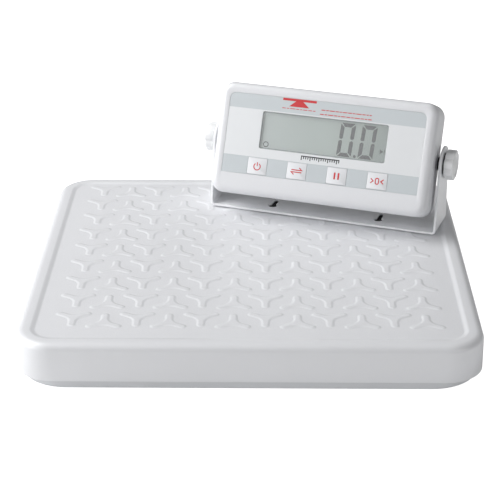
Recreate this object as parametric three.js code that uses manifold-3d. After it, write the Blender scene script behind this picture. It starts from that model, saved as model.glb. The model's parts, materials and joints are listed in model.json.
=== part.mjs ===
// Platform shipping scale: a low weighing platform on four load-cell feet, and a display head
// that tilts in a sheet-steel bracket standing on the platform.
// Millimetres. +Z up, +Y to the rear, +X to the right. Origin: centre of the footprint, on the floor.
import * as THREE from 'three';
import { mergeGeometries, mergeVertices } from 'three/addons/utils/BufferGeometryUtils.js';
import ManifoldModule from 'manifold-3d';

const wasm = await ManifoldModule();
wasm.setup();

// ---------------------------------------------------------------- driving dimensions
const GAP = 0.3;                    // clearance between neighbouring pieces

// Platform
const PLATFORM_W = 350;
const PLATFORM_D = 338;
const COVER_CORNER_R = 30;
const COVER_WALL = 2.6;
const SKIRT_Z = 9.9;                // lower edge of the cover
const DECK_Z = 38;                  // weighing surface
const DECK_T = 2.5;
const RIM_Z = 39.2;                 // crest of the raised rim
const RIM_W = 15;                   // outer face to the foot of the rim's inner slope
const SLOPE_W = 5.4;                 // the rim's inner slope

// Tread: raised three-armed blades in an aligned grid, every second column inverted
const TREAD_COLUMNS = 12;
const TREAD_ROWS = 9;
const TREAD_PITCH_X = 24.3;
const TREAD_PITCH_Y = 32.6;
const TREAD_CENTRE_Y = 6.3;
const BLADE_H = 0.6;
const BLADE_REACH = 12.1;           // junction to the centre of a rounded tip
const BLADE_HALF_W = 2.45;
const BLADE_SHIFT_Y = 4.2;          // junction from the row's centre line
const BLADE_ROOT = 0.8;             // how far a blade reaches down into the deck

// Base tray
const TRAY_Z = 3;                   // underside above the floor
const TRAY_CORNER_R = 37.5;         // at the lower edge; the upper edge follows the cover
const TRAY_T = 2.4;
const TRAY_INSET = 2.5;
const TRAY_LIP_Z = 13.5;            // upstand inside the cover
const TRAY_LIP_T = 2;
const TRAY_CHAMFER = 1;
const PILLAR_X = 60;
const PILLAR_Y = 120;
const PILLAR_R = 5;
const SINK_R = 3.7;                 // counterbore for a tray screw's head
const SINK_H = 3;

// Stiffener plate, load cells and feet
const PLATE_T = 2;
const PLATE_LIP = 3;
const PLATE_MARGIN = 8;             // from the platform's outline
const PLATE_CORNER_R = 18;
const PLATE_TOP_Z = DECK_Z - DECK_T - 0.6;
const PLATE_Z = PLATE_TOP_Z - PLATE_T;
const FOOT_X = 134;
const FOOT_Y = 128;
const FOOT_R = 20;
const FOOT_HOLE_R = 21.5;
const CUP_Z = 2.8;
const CUP_TOP_Z = 18;
const CUP_NECK_R = 6;
const PAD_R = 17.4;
const PAD_TOP_Z = 7;
const HOLDER_SIZE = 46;
const CELL_SIZE = 34;
const CELL_Z = 24;
const CELL_T = 3;

// Board that sums the four load cells
const JUNCTION = [60, 36, 1.6];
const JUNCTION_Y = 78;
const JUNCTION_Z = 14;

// Screws
const SCREW_HEAD_R = 3.2;
const SCREW_HEAD_T = 2;
const SCREW_R = 1.5;
const SCREW_HOLE_R = 1.9;
const TRAY_SCREW_L = 30.4;
const CASE_SCREW_L = 31;

// Cable outlet in the middle of the rear wall
const GLAND_R = 5.5;
const GLAND_FLANGE = 1.5;
const GLAND_BORE_R = 2.2;
const GLAND_Z = 21;

// Bracket: U-shaped sheet, local origin at the front left lower corner of its base
const BRACKET_L = 203;
const BRACKET_D = 39;
const SHEET_T = 2;
const BEND_R = 3.5;
const BRACKET_AT = [-37.06, 102.53, RIM_Z + 0.15];   // its rear right corner is over the rim
const BRACKET_YAW = -18.9;
const PIVOT_Y = 23.3;
const PIVOT_Z = 56;
const ARM_TOP_R = 15.5;
const ARM_KNEE_Z = 4;               // the arm's taper starts here
const PIVOT_HOLE_R = 3.4;
const KEYHOLE_X = 48;               // either side of the bracket's middle
const KEYHOLE_Y = 13.3;
const KEYHOLE_R = 4;
const KEYHOLE_SLOT_R = 2;
const KEYHOLE_SLOT_L = 12;
const BRACKET_PAD_X = 46;           // from either end
const BRACKET_PAD_W = 70;
const BRACKET_PAD_MARGIN = 3;

// Display head: local origin on the tilt axis, -Y out of the face, +Z up the face
const HEAD_TILT = 22.4;
const HEAD_W = 192;
const HEAD_TOP = 48.6;
const HEAD_BOTTOM = -47.4;
const HEAD_CORNER_R = 11;
const FACE_Y = -26;
const FACE_T = 3.6;
const PARTING_Y = -8;
const REAR_Y = 19;
const SHELL_WALL = 2.5;
const REAR_INNER_Y = REAR_Y - SHELL_WALL;
const CASE_SCREW_X = 80;
const CASE_SCREW_Z = 33;            // either side of the head's middle
const BEZEL_POST = { r: 3.5, bore: 1.7 };
const REAR_POST = { r: 4.4, sink: 3.6, sinkDepth: 5 };
const SHELL_BOSS_R = 7;             // round each clamping stud

// Face of the head
const FACE_CENTRE_Z = 5;            // middle of the overlay
const OVERLAY_W = 173.3;
const OVERLAY_H = 68.8;
const OVERLAY_T = 0.8;
const OVERLAY_R = 5;
const OVERLAY_RECESS = 1.3;
const OVERLAY_SINK = 0.2;           // the overlay's face below the bezel's
const LCD_W = 111.5;
const LCD_H = 32.2;
const LCD_Z = FACE_CENTRE_Z + 4.9;
const KEY_W = 17.5;
const KEY_H = 14.2;
const KEY_Z = FACE_CENTRE_Z - 26.7;
const KEY_FIRST_X = -54.9;
const KEY_PITCH = 35.5;
const KEY_STEM = [11.8, 9];
const KEY_NAMES = ['key_power', 'key_unit', 'key_hold', 'key_tare'];

// Inside and behind the head
const BOARD = [148, 62, 1.6];
const BOARD_Y = FACE_Y + 10;
const SWITCH = 6;
const BATTERY_BAY = [112, 36];      // battery opening, width and height
const BATTERY_R = 7.1;
const BATTERY_L = 50;
const BATTERY_ROW_Z = 8.2;
const SOCKET_AT = [-72, -12];
const SOCKET = { r: 8, flange: 10, depth: 14, bore: 6.3 };
const JACK_AT = [72, -12];
const JACK = { r: 5, flange: 6.5, depth: 13, bore: 2.9 };

// Clamping knobs and what they clamp
const STUD_R = 3;
const BORE_R = 3.3;
const INSERT_R = 4.5;
const SPACER_R = 5.7;
const WASHER_R = 9.5;
const WASHER_T = 1.2;
const KNOB_R = 12.2;
const KNOB_LOBE = 0.7;
const KNOB_LOBES = 8;
const KNOB_T = 8;
const ARM_OUTER_X = BRACKET_L / 2;
const ARM_INNER_X = ARM_OUTER_X - SHEET_T;
const WASHER_X = ARM_OUTER_X + 0.2;
const KNOB_X = WASHER_X + WASHER_T + 0.2;

const DEG = Math.PI / 180;

// ---------------------------------------------------------------- materials
const paint = (color, roughness, metalness = 0) =>
  new THREE.MeshStandardMaterial({ color, roughness, metalness });
const WHITE_ABS = () => paint(0xf0f1f2, 0.35);
const GREY_ABS = () => paint(0xc9cccf, 0.5);
const KNOB_PLASTIC = () => paint(0xdcdee0, 0.4);
const BLACK_PLASTIC = () => paint(0x1c1d1f, 0.5);
const RUBBER = () => paint(0x2a2b2d, 0.85);
const STEEL = () => paint(0xb4b8bb, 0.35, 1);
const WHITE_STEEL = () => paint(0xeeeff0, 0.4);
const BRASS = () => paint(0xb99a52, 0.35, 1);
const BOARD_GREEN = () => paint(0x2f6b43, 0.6);

// ---------------------------------------------------------------- solids
function solidOf(geometry) {
  const bare = geometry.index ? geometry.clone() : geometry;
  bare.deleteAttribute('normal');
  bare.deleteAttribute('uv');
  const merged = mergeVertices(bare, 1e-4);
  return new wasm.Manifold(new wasm.Mesh({
    numProp: 3,
    vertProperties: new Float32Array(merged.attributes.position.array),
    triVerts: new Uint32Array(merged.index.array),
  }));
}

function geometryOf(solid) {
  const mesh = solid.getMesh();
  const geometry = new THREE.BufferGeometry();
  geometry.setAttribute('position', new THREE.BufferAttribute(mesh.vertProperties, 3));
  geometry.setIndex(new THREE.BufferAttribute(mesh.triVerts, 1));
  return geometry;
}

function cut(geometry, ...tools) {
  let solid = solidOf(geometry);
  for (const tool of tools) solid = solid.subtract(solidOf(tool));
  return geometryOf(solid);
}

function join(geometry, ...others) {
  let solid = solidOf(geometry);
  for (const other of others) solid = solid.add(solidOf(other));
  return geometryOf(solid);
}

function common(first, second) {
  return geometryOf(solidOf(first).intersect(solidOf(second)));
}

// A rounded rectangle as a closed loop of [x, y], anticlockwise from the right side's lower end.
function roundedLoop(width, height, radius, steps = 5) {
  const loop = [];
  const centres = [[1, 1, 0], [-1, 1, 90], [-1, -1, 180], [1, -1, 270]];
  for (const [sx, sy, start] of centres) {
    for (let i = 0; i <= steps; i += 1) {
      const angle = (start + (90 * i) / steps) * DEG;
      const x = sx * (width / 2 - radius) + radius * Math.cos(angle);
      const y = sy * (height / 2 - radius) + radius * Math.sin(angle);
      loop.push([x, y]);
    }
  }
  return loop;
}

// Skin over equal-length rings, with the first and last ring closed by a fan about their middle.
function loft(rings) {
  const count = rings[0].length;
  const points = rings.flat();
  const faces = [];
  for (let r = 0; r < rings.length - 1; r += 1) {
    for (let i = 0; i < count; i += 1) {
      const a = r * count + i;
      const b = r * count + ((i + 1) % count);
      faces.push(a, b, b + count, a, b + count, a + count);
    }
  }
  const cap = (ring, base, flip) => {
    const middle = [0, 1, 2].map((k) => ring.reduce((sum, p) => sum + p[k], 0) / count);
    const hub = points.push(middle) - 1;
    for (let i = 0; i < count; i += 1) {
      const pair = [base + i, base + ((i + 1) % count)];
      faces.push(hub, ...(flip ? pair.reverse() : pair));
    }
  };
  cap(rings[0], 0, true);
  cap(rings[rings.length - 1], (rings.length - 1) * count, false);
  const geometry = new THREE.BufferGeometry();
  geometry.setAttribute('position', new THREE.Float32BufferAttribute(points.flat(), 3));
  geometry.setIndex(signedVolume(points, faces) > 0 ? faces : faces.reverse());
  return geometry;
}

function signedVolume(points, faces) {
  let volume = 0;
  const [a, b, c] = [new THREE.Vector3(), new THREE.Vector3(), new THREE.Vector3()];
  for (let i = 0; i < faces.length; i += 3) {
    a.fromArray(points[faces[i]]);
    b.fromArray(points[faces[i + 1]]);
    c.fromArray(points[faces[i + 2]]);
    volume += a.dot(b.cross(c)) / 6;
  }
  return volume;
}

// Horizontal rings of a rounded rectangle: each stage is [inset, z], or [inset, z, corner radius].
function traySolid(width, depth, cornerR, stages) {
  return loft(stages.map(([inset, z, radius = cornerR - inset]) => {
    const loop = roundedLoop(width - 2 * inset, depth - 2 * inset, radius);
    return loop.map(([x, y]) => [x, y, z]);
  }));
}

// Upright rings round the head: each stage is [inset, y].
function headSolid(stages) {
  const height = HEAD_TOP - HEAD_BOTTOM;
  const middle = (HEAD_TOP + HEAD_BOTTOM) / 2;
  return loft(stages.map(([inset, y]) => {
    const radius = HEAD_CORNER_R - inset;
    const loop = roundedLoop(HEAD_W - 2 * inset, height - 2 * inset, radius);
    return loop.map(([x, z]) => [x, y, middle + z]);
  }));
}

// A box between two corners.
function block(low, high) {
  const size = high.map((value, k) => value - low[k]);
  const geometry = new THREE.BoxGeometry(...size);
  return geometry.translate(...high.map((value, k) => (value + low[k]) / 2));
}

// A cylinder of radius r from `from` to `to` along one axis, centred on the other two in `at`.
function rod(axis, r, from, to, at, sides = 16) {
  const geometry = new THREE.CylinderGeometry(r, r, to - from, sides);
  const middle = (from + to) / 2;
  if (axis === 'x') return geometry.rotateZ(Math.PI / 2).translate(middle, at[0], at[1]);
  if (axis === 'y') return geometry.translate(at[0], middle, at[1]);
  return geometry.rotateX(Math.PI / 2).translate(at[0], at[1], middle);
}

function turned(profile, sides = 24) {
  return new THREE.LatheGeometry(profile.map(([r, z]) => new THREE.Vector2(r, z)), sides);
}

// Lathe axes start along Y: upright() turns them to +Z and sideways() to +X.
const upright = (geometry) => geometry.rotateX(Math.PI / 2);
const sideways = (geometry) => geometry.rotateZ(-Math.PI / 2);

function extruded(loop, from, to) {
  const shape = new THREE.Shape(loop.map(([x, y]) => new THREE.Vector2(x, y)));
  const geometry = new THREE.ExtrudeGeometry(shape, { depth: to - from, bevelEnabled: false });
  return geometry.translate(0, 0, from);
}

// An outline in X and Z, with its thickness along Y.
function facing(loop, from, to) {
  return extruded(loop, -to, -from).rotateX(Math.PI / 2);
}

const rectangle = (width, height, x = 0, y = 0) => [
  [x - width / 2, y - height / 2],
  [x + width / 2, y - height / 2],
  [x + width / 2, y + height / 2],
  [x - width / 2, y + height / 2],
];

// ---------------------------------------------------------------- platform
function bladeLoop(x, y, inverted) {
  const loop = [];
  for (const arm of [30, 150, 270]) {
    const angle = (arm + (inverted ? 180 : 0)) * DEG;
    for (const turn of [-60, 60]) {
      const tip = angle + turn * DEG;
      loop.push([
        x + BLADE_REACH * Math.cos(angle) + BLADE_HALF_W * Math.cos(tip),
        y + BLADE_REACH * Math.sin(angle) + BLADE_HALF_W * Math.sin(tip),
      ]);
    }
    const crotch = angle + 60 * DEG;
    const reach = BLADE_HALF_W / Math.sin(60 * DEG);
    loop.push([x + reach * Math.cos(crotch), y + reach * Math.sin(crotch)]);
  }
  return loop;
}

function treadBlades() {
  const blades = [];
  for (let column = 0; column < TREAD_COLUMNS; column += 1) {
    const inverted = column % 2 === 1;
    const x = (column - (TREAD_COLUMNS - 1) / 2) * TREAD_PITCH_X;
    for (let row = 0; row < TREAD_ROWS; row += 1) {
      const centre = TREAD_CENTRE_Y + (row - (TREAD_ROWS - 1) / 2) * TREAD_PITCH_Y;
      const y = centre + (inverted ? -BLADE_SHIFT_Y : BLADE_SHIFT_Y);
      blades.push(extruded(bladeLoop(x, y, inverted), DECK_Z - BLADE_ROOT, DECK_Z + BLADE_H));
    }
  }
  return mergeGeometries(blades);
}

function platformCover() {
  const shell = traySolid(PLATFORM_W, PLATFORM_D, COVER_CORNER_R, [
    [COVER_WALL + 3.2, DECK_Z - DECK_T],
    [COVER_WALL + 1.4, DECK_Z - DECK_T - 1.6],
    [COVER_WALL, SKIRT_Z],
    [0, SKIRT_Z],
    [0.1, RIM_Z - 5.4],
    [0.7, RIM_Z - 3],
    [1.9, RIM_Z - 1.2],
    [3.5, RIM_Z - 0.3],
    [5.6, RIM_Z],
    [RIM_W - SLOPE_W, RIM_Z],
    [RIM_W - 0.7 * SLOPE_W, RIM_Z - 0.2],
    [RIM_W - 0.3 * SLOPE_W, DECK_Z + 0.2],
    [RIM_W, DECK_Z],
  ]);
  const outlet = rod('y', GLAND_R + 0.25, PLATFORM_D / 2 - 10, PLATFORM_D / 2 + 1, [0, GLAND_Z], 24);
  return cut(join(shell, treadBlades()), outlet);
}

function cableGland() {
  const inner = PLATFORM_D / 2 - 9;
  const outer = PLATFORM_D / 2 - 1;
  const flangeEnd = PLATFORM_D / 2 - COVER_WALL - 1.5;
  const body = rod('y', GLAND_R, inner, outer, [0, GLAND_Z], 24);
  const flange = rod('y', GLAND_R + GLAND_FLANGE, inner - 1, flangeEnd, [0, GLAND_Z], 24);
  const bore = rod('y', GLAND_BORE_R, inner - 2, outer + 1, [0, GLAND_Z], 16);
  return cut(join(body, flange), bore);
}

function footPositions() {
  return [
    ['front_left', -FOOT_X, -FOOT_Y],
    ['front_right', FOOT_X, -FOOT_Y],
    ['rear_left', -FOOT_X, FOOT_Y],
    ['rear_right', FOOT_X, FOOT_Y],
  ];
}

function pillarPositions() {
  return [
    [-PILLAR_X, -PILLAR_Y],
    [PILLAR_X, -PILLAR_Y],
    [-PILLAR_X, PILLAR_Y],
    [PILLAR_X, PILLAR_Y],
  ];
}

function stiffenerPlate() {
  const width = PLATFORM_W - 2 * PLATE_MARGIN;
  const depth = PLATFORM_D - 2 * PLATE_MARGIN;
  const pan = traySolid(width, depth, PLATE_CORNER_R, [
    [PLATE_T, PLATE_Z],
    [PLATE_T, PLATE_Z - PLATE_LIP],
    [0, PLATE_Z - PLATE_LIP],
    [0, PLATE_Z + PLATE_T - 1],
    [1, PLATE_TOP_Z],
  ]);
  const hole = (at) => rod('z', SCREW_HOLE_R, PLATE_Z - 1, PLATE_TOP_Z + 1, at, 12);
  return cut(pan, ...pillarPositions().map(hole));
}

function baseTray() {
  const lipOuter = COVER_WALL + 0.9;
  const lipInner = lipOuter + TRAY_LIP_T;
  const shell = traySolid(PLATFORM_W, PLATFORM_D, COVER_CORNER_R, [
    [lipInner, TRAY_Z + TRAY_T, TRAY_CORNER_R - TRAY_LIP_T],
    [lipInner, TRAY_LIP_Z],
    [lipOuter, TRAY_LIP_Z],
    [lipOuter, SKIRT_Z - GAP],
    [TRAY_INSET, SKIRT_Z - GAP],
    [TRAY_INSET, TRAY_Z + TRAY_CHAMFER, TRAY_CORNER_R],
    [TRAY_INSET + TRAY_CHAMFER, TRAY_Z, TRAY_CORNER_R - TRAY_CHAMFER],
  ]);
  const posts = pillarPositions();
  const pillars = posts.map((at) => rod('z', PILLAR_R, TRAY_Z + 1, PLATE_Z - GAP, at, 12));
  const bores = posts.map((at) => rod('z', SCREW_HOLE_R, TRAY_Z, PLATE_Z + 1, at, 12));
  const sinks = posts.map((at) => rod('z', SINK_R, TRAY_Z - 1, TRAY_Z + SINK_H, at, 12));
  const feet = footPositions().map(([, x, y]) => (
    rod('z', FOOT_HOLE_R, TRAY_Z - 1, TRAY_LIP_Z - 1, [x, y], 28)));
  return cut(join(shell, ...pillars), ...feet, ...bores, ...sinks);
}

// Pan-head screw along +Z: head from z = 0, shank above it.
function screw(length) {
  return upright(turned([
    [0, 0],
    [SCREW_HEAD_R - 0.6, 0],
    [SCREW_HEAD_R, 0.6],
    [SCREW_HEAD_R, SCREW_HEAD_T],
    [SCREW_R, SCREW_HEAD_T],
    [SCREW_R, length - 1],
    [0, length],
  ], 16));
}

function cellHolder() {
  const half = HOLDER_SIZE / 2;
  const pocket = CELL_SIZE / 2 + 0.5;
  const body = block([-half, -half, CELL_Z - 2], [half, half, PLATE_Z - GAP]);
  const recess = block([-pocket, -pocket, CELL_Z - 3], [pocket, pocket, CELL_Z + CELL_T + GAP]);
  const relief = rod('z', 12, CELL_Z, CELL_Z + CELL_T + 2.5, [0, 0], 24);
  return cut(body, recess, relief);
}

// Flat half-bridge cell: a frame round a tongue that carries the foot.
function loadCell() {
  const half = CELL_SIZE / 2;
  const plate = block([-half, -half, CELL_Z], [half, half, CELL_Z + CELL_T]);
  const slot = (low, high) => block([...low, CELL_Z - 1], [...high, CELL_Z + CELL_T + 1]);
  return cut(
    plate,
    slot([-10.5, -11], [-8.5, 9]),
    slot([8.5, -11], [10.5, 9]),
    slot([-10.5, 9], [10.5, 11]),
  );
}

function footCup() {
  const pocketR = PAD_R + 0.4;
  return upright(turned([
    [0, PAD_TOP_Z + GAP],
    [pocketR, PAD_TOP_Z + GAP],
    [pocketR, CUP_Z],
    [FOOT_R, CUP_Z],
    [FOOT_R, CUP_TOP_Z - 1.2],
    [FOOT_R - 1.2, CUP_TOP_Z],
    [CUP_NECK_R, CUP_TOP_Z],
    [CUP_NECK_R, CELL_Z - GAP],
    [0, CELL_Z - GAP],
  ]));
}

function footPad() {
  return upright(turned([
    [0, 0],
    [PAD_R - 1, 0],
    [PAD_R, 1],
    [PAD_R, PAD_TOP_Z],
    [0, PAD_TOP_Z],
  ]));
}

function junctionBoard() {
  const [width, depth, thickness] = JUNCTION;
  const top = JUNCTION_Z + thickness;
  const front = JUNCTION_Y - depth / 2;
  const rear = JUNCTION_Y + depth / 2;
  const board = block([-width / 2, front, JUNCTION_Z], [width / 2, rear, top]);
  const terminals = block([-width / 2 + 6, rear - 12, top - 0.6], [width / 2 - 6, rear - 4, top + 7.4]);
  return join(board, terminals);
}

// ---------------------------------------------------------------- bracket
// Side view of an arm as [y, z]: from the base's two corners, tangent to the round top.
function armLoop() {
  const loop = [[BRACKET_D, -1], [BRACKET_D, ARM_KNEE_Z]];
  const lean = (dy) => {
    const rise = PIVOT_Z - ARM_KNEE_Z;
    return Math.atan2(dy, rise) + Math.asin(ARM_TOP_R / Math.hypot(dy, rise));
  };
  const rearTurn = lean(PIVOT_Y - BRACKET_D);
  const frontTurn = lean(-PIVOT_Y);
  const steps = 16;
  const first = -rearTurn;
  const last = Math.PI + frontTurn;
  for (let i = 0; i <= steps; i += 1) {
    const angle = first + ((last - first) * i) / steps;
    loop.push([PIVOT_Y + ARM_TOP_R * Math.cos(angle), PIVOT_Z + ARM_TOP_R * Math.sin(angle)]);
  }
  loop.push([0, ARM_KNEE_Z], [0, -1]);
  return loop;
}

// Cross-section of the bent sheet as [x, z], open at the top.
function channelLoop() {
  const height = PIVOT_Z + ARM_TOP_R + 4;
  const quarter = (cx, start, radius) => [0, 1, 2, 3, 4].map((i) => {
    const angle = (start + 22.5 * i) * DEG;
    return [cx + radius * Math.cos(angle), BEND_R + radius * Math.sin(angle)];
  });
  const right = BRACKET_L - BEND_R;
  const outside = [...quarter(BEND_R, 180, BEND_R), ...quarter(right, 270, BEND_R)];
  const innerR = BEND_R - SHEET_T;
  const inside = [...quarter(BEND_R, 180, innerR), ...quarter(right, 270, innerR)].reverse();
  return [
    [0, height],
    ...outside,
    [BRACKET_L, height],
    [BRACKET_L - SHEET_T, height],
    ...inside,
    [SHEET_T, height],
  ];
}

function keyhole(x) {
  const slotEnd = KEYHOLE_Y + KEYHOLE_SLOT_L;
  const top = SHEET_T + 1;
  const head = rod('z', KEYHOLE_R, -1, top, [x, KEYHOLE_Y]);
  const slot = block([x - KEYHOLE_SLOT_R, KEYHOLE_Y, -1], [x + KEYHOLE_SLOT_R, slotEnd, top]);
  const end = rod('z', KEYHOLE_SLOT_R, -1, top, [x, slotEnd], 16);
  return join(head, slot, end);
}

function bracket() {
  const channel = facing(channelLoop(), 0, BRACKET_D);
  const sides = extruded(armLoop(), -1, BRACKET_L + 1);
  sides.rotateX(Math.PI / 2).rotateZ(Math.PI / 2);
  const pivot = rod('x', PIVOT_HOLE_R, -1, BRACKET_L + 1, [PIVOT_Y, PIVOT_Z]);
  const middle = BRACKET_L / 2;
  const keyholes = [keyhole(middle - KEYHOLE_X), keyhole(middle + KEYHOLE_X)];
  return cut(common(channel, sides), pivot, ...keyholes);
}

function bracketPad() {
  const half = BRACKET_PAD_W / 2;
  const bottom = DECK_Z + BLADE_H + 0.1 - BRACKET_AT[2];
  const rear = BRACKET_D - BRACKET_PAD_MARGIN;
  return block([-half, BRACKET_PAD_MARGIN, bottom], [half, rear, -0.05]);
}

// ---------------------------------------------------------------- display head
function overlayLoop(grow = 0) {
  const w = OVERLAY_W / 2 + grow;
  const h = OVERLAY_H / 2 + grow;
  const r = OVERLAY_R + grow;
  const loop = [[-w, FACE_CENTRE_Z - h], [w, FACE_CENTRE_Z - h]];
  for (const [sx, start] of [[1, 0], [-1, 90]]) {
    for (let i = 0; i <= 4; i += 1) {
      const angle = (start + 22.5 * i) * DEG;
      const x = sx * (w - r) + r * Math.cos(angle);
      loop.push([x, FACE_CENTRE_Z + h - r + r * Math.sin(angle)]);
    }
  }
  return loop;
}

const keyX = (index) => KEY_FIRST_X + index * KEY_PITCH;

function screwPosts() {
  const middle = (HEAD_TOP + HEAD_BOTTOM) / 2;
  return [
    [-CASE_SCREW_X, middle - CASE_SCREW_Z],
    [CASE_SCREW_X, middle - CASE_SCREW_Z],
    [-CASE_SCREW_X, middle + CASE_SCREW_Z],
    [CASE_SCREW_X, middle + CASE_SCREW_Z],
  ];
}

function frontBezel() {
  const plateBack = FACE_Y + FACE_T;
  const shell = headSolid([
    [SHELL_WALL, plateBack],
    [SHELL_WALL, PARTING_Y],
    [0, PARTING_Y],
    [0, FACE_Y + 6],
    [0.4, FACE_Y + 3.8],
    [1.4, FACE_Y + 1.9],
    [3, FACE_Y + 0.6],
    [5.5, FACE_Y],
  ]);
  const post = (at) => rod('y', BEZEL_POST.r, plateBack - 1, PARTING_Y - GAP, at, 12);
  const bore = (at) => rod('y', BEZEL_POST.bore, FACE_Y + 4.5, PARTING_Y + 1, at, 12);
  const posts = screwPosts().map(post);
  const bores = screwPosts().map(bore);
  const recess = facing(overlayLoop(0.3), FACE_Y - 1, FACE_Y + OVERLAY_RECESS);
  const opening = (width, height, x, z) => (
    facing(rectangle(width, height, x, z), FACE_Y, plateBack + 1));
  const windowHole = opening(LCD_W - 2, LCD_H - 2, 0, LCD_Z);
  const keyHoles = KEY_NAMES.map((_, i) => (
    opening(KEY_STEM[0] + 0.6, KEY_STEM[1] + 0.6, keyX(i), KEY_Z)));
  return cut(join(shell, ...posts), recess, windowHole, ...keyHoles, ...bores);
}

function rearShell() {
  const start = PARTING_Y + GAP;
  const sideX = HEAD_W / 2;
  const outside = REAR_Y + 1;
  const shell = headSolid([
    [8, REAR_INNER_Y],
    [5.6, REAR_INNER_Y - 2.5],
    [SHELL_WALL, 4],
    [SHELL_WALL, start],
    [0, start],
    [0, 2],
    [1, 8],
    [3, 14],
    [5, 17.5],
    [8, REAR_Y],
  ]);
  const post = (at) => rod('y', REAR_POST.r, start, REAR_INNER_Y + 0.5, at, 12);
  const sink = (at) => rod('y', REAR_POST.sink, REAR_Y - REAR_POST.sinkDepth, outside, at, 12);
  const posts = screwPosts().map(post);
  const bosses = [
    rod('x', SHELL_BOSS_R, -sideX + 1, -sideX + 14, [0, 0], 24),
    rod('x', SHELL_BOSS_R, sideX - 14, sideX - 1, [0, 0], 24),
  ];
  const [bayW, bayH] = BATTERY_BAY.map((size) => size + 0.6);
  const bay = facing(rectangle(bayW, bayH), REAR_INNER_Y - 1, outside);
  const bores = screwPosts().map((at) => rod('y', SCREW_HOLE_R, start - 1, outside, at, 12));
  const sinks = screwPosts().map(sink);
  const insertBore = rod('x', INSERT_R + 0.3, -sideX - 1, sideX + 1, [0, 0], 24);
  const socketHole = rod('y', SOCKET.r + 0.3, REAR_INNER_Y - 1, outside, SOCKET_AT, 24);
  const jackHole = rod('y', JACK.r + 0.3, REAR_INNER_Y - 1, outside, JACK_AT, 20);
  const holes = [bay, ...bores, ...sinks, insertBore, socketHole, jackHole];
  return cut(join(shell, ...posts, ...bosses), ...holes);
}

function faceOverlay() {
  const front = FACE_Y + OVERLAY_SINK;
  const film = facing(overlayLoop(), front, front + OVERLAY_T);
  const opening = (width, height, x, z) => (
    facing(rectangle(width + 0.4, height + 0.4, x, z), FACE_Y - 1, FACE_Y + 2));
  const keys = KEY_NAMES.map((_, i) => opening(KEY_W, KEY_H, keyX(i), KEY_Z));
  return cut(film, opening(LCD_W, LCD_H, 0, LCD_Z), ...keys);
}

function lcdWindow() {
  const front = FACE_Y + OVERLAY_SINK;
  return facing(rectangle(LCD_W, LCD_H, 0, LCD_Z), front, front + OVERLAY_T);
}

function lcdModule() {
  const front = FACE_Y + 4;
  const frame = facing(rectangle(LCD_W + 8, LCD_H + 8, 0, LCD_Z), front, front + 4);
  const recess = facing(rectangle(LCD_W + 1, LCD_H + 1, 0, LCD_Z), front - 1, front + 0.4);
  return cut(frame, recess);
}

function mainBoard() {
  const [width, height, thickness] = BOARD;
  const board = facing(rectangle(width, height), BOARD_Y, BOARD_Y + thickness);
  const switches = KEY_NAMES.map((_, i) => (
    facing(rectangle(SWITCH, SWITCH, keyX(i), KEY_Z), FACE_Y + 7.2, BOARD_Y + 0.5)));
  const header = facing(rectangle(60, 5, 0, LCD_Z), FACE_Y + 8.3, BOARD_Y + 0.5);
  return join(board, ...switches, header);
}

// Key cap with the stem that reaches its switch.
function keyCap(index) {
  const x = keyX(index);
  const cap = facing(rectangle(KEY_W, KEY_H, x, KEY_Z), FACE_Y + 0.1, FACE_Y + 0.8);
  const stem = facing(rectangle(...KEY_STEM, x, KEY_Z), FACE_Y + 0.5, FACE_Y + 6.5);
  return join(cap, stem);
}

function batteryTray() {
  const [w, h] = BATTERY_BAY;
  const box = facing(rectangle(w + 4, h + 4), -3, REAR_INNER_Y - GAP);
  const pocket = facing(rectangle(w + 0.6, h + 0.6), -1.2, REAR_Y);
  return cut(box, pocket);
}

function batteryDoor() {
  const [w, h] = BATTERY_BAY;
  const panel = facing(rectangle(w, h), REAR_INNER_Y + 0.1, REAR_Y);
  const grip = facing(rectangle(22, 3, 0, h / 2 - 6), REAR_Y - 0.9, REAR_Y + 1);
  return cut(panel, grip);
}

function battery(index) {
  const side = index % 2 === 0 ? -1 : 1;
  const row = index < 2 ? -1 : 1;
  const inner = 1.5;
  const geometry = sideways(turned([
    [0, 0],
    [BATTERY_R, 0],
    [BATTERY_R, BATTERY_L - 1.2],
    [2.7, BATTERY_L - 1.2],
    [2.7, BATTERY_L],
    [0, BATTERY_L],
  ], 20));
  if (side < 0) geometry.rotateZ(Math.PI);
  return geometry.translate(side * inner, BATTERY_R - 0.7, row * BATTERY_ROW_Z);
}

// Round panel socket or jack in the rear wall: flange outside, body inside.
function panelSocket({ r, flange, depth, bore }) {
  const body = rod('y', r, -depth, 1.4, [0, 0], 20);
  const lip = rod('y', flange, 0.3, 1.4, [0, 0], 20);
  const mouth = rod('y', bore, -depth + 5, 2, [0, 0], 16);
  return cut(join(body, lip), mouth).translate(0, REAR_Y, 0);
}

// ---------------------------------------------------------------- clamping knobs
function ring(outerR, innerR, from, to) {
  const hole = rod('x', innerR, from - 1, to + 1, [0, 0], 20);
  return cut(rod('x', outerR, from, to, [0, 0], 28), hole);
}

function knob() {
  const steps = 48;
  const loop = [];
  for (let i = 0; i < steps; i += 1) {
    const angle = (2 * Math.PI * i) / steps;
    const r = KNOB_R + KNOB_LOBE * Math.cos(KNOB_LOBES * angle);
    loop.push([r * Math.cos(angle), r * Math.sin(angle)]);
  }
  const grip = extruded(loop, 0, KNOB_T).rotateY(Math.PI / 2).translate(KNOB_X, 0, 0);
  return cut(grip, rod('x', BORE_R, KNOB_X - 1, KNOB_X + 5, [0, 0]));
}

const stud = () => rod('x', STUD_R, HEAD_W / 2 - 9, KNOB_X + 4.6, [0, 0], 16);
const insert = () => ring(INSERT_R, BORE_R, HEAD_W / 2 - 12, HEAD_W / 2 - 0.4);
const spacer = () => ring(SPACER_R, BORE_R, HEAD_W / 2 + GAP, ARM_INNER_X - GAP);
const washer = () => ring(WASHER_R, BORE_R, WASHER_X, WASHER_X + WASHER_T);

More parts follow.
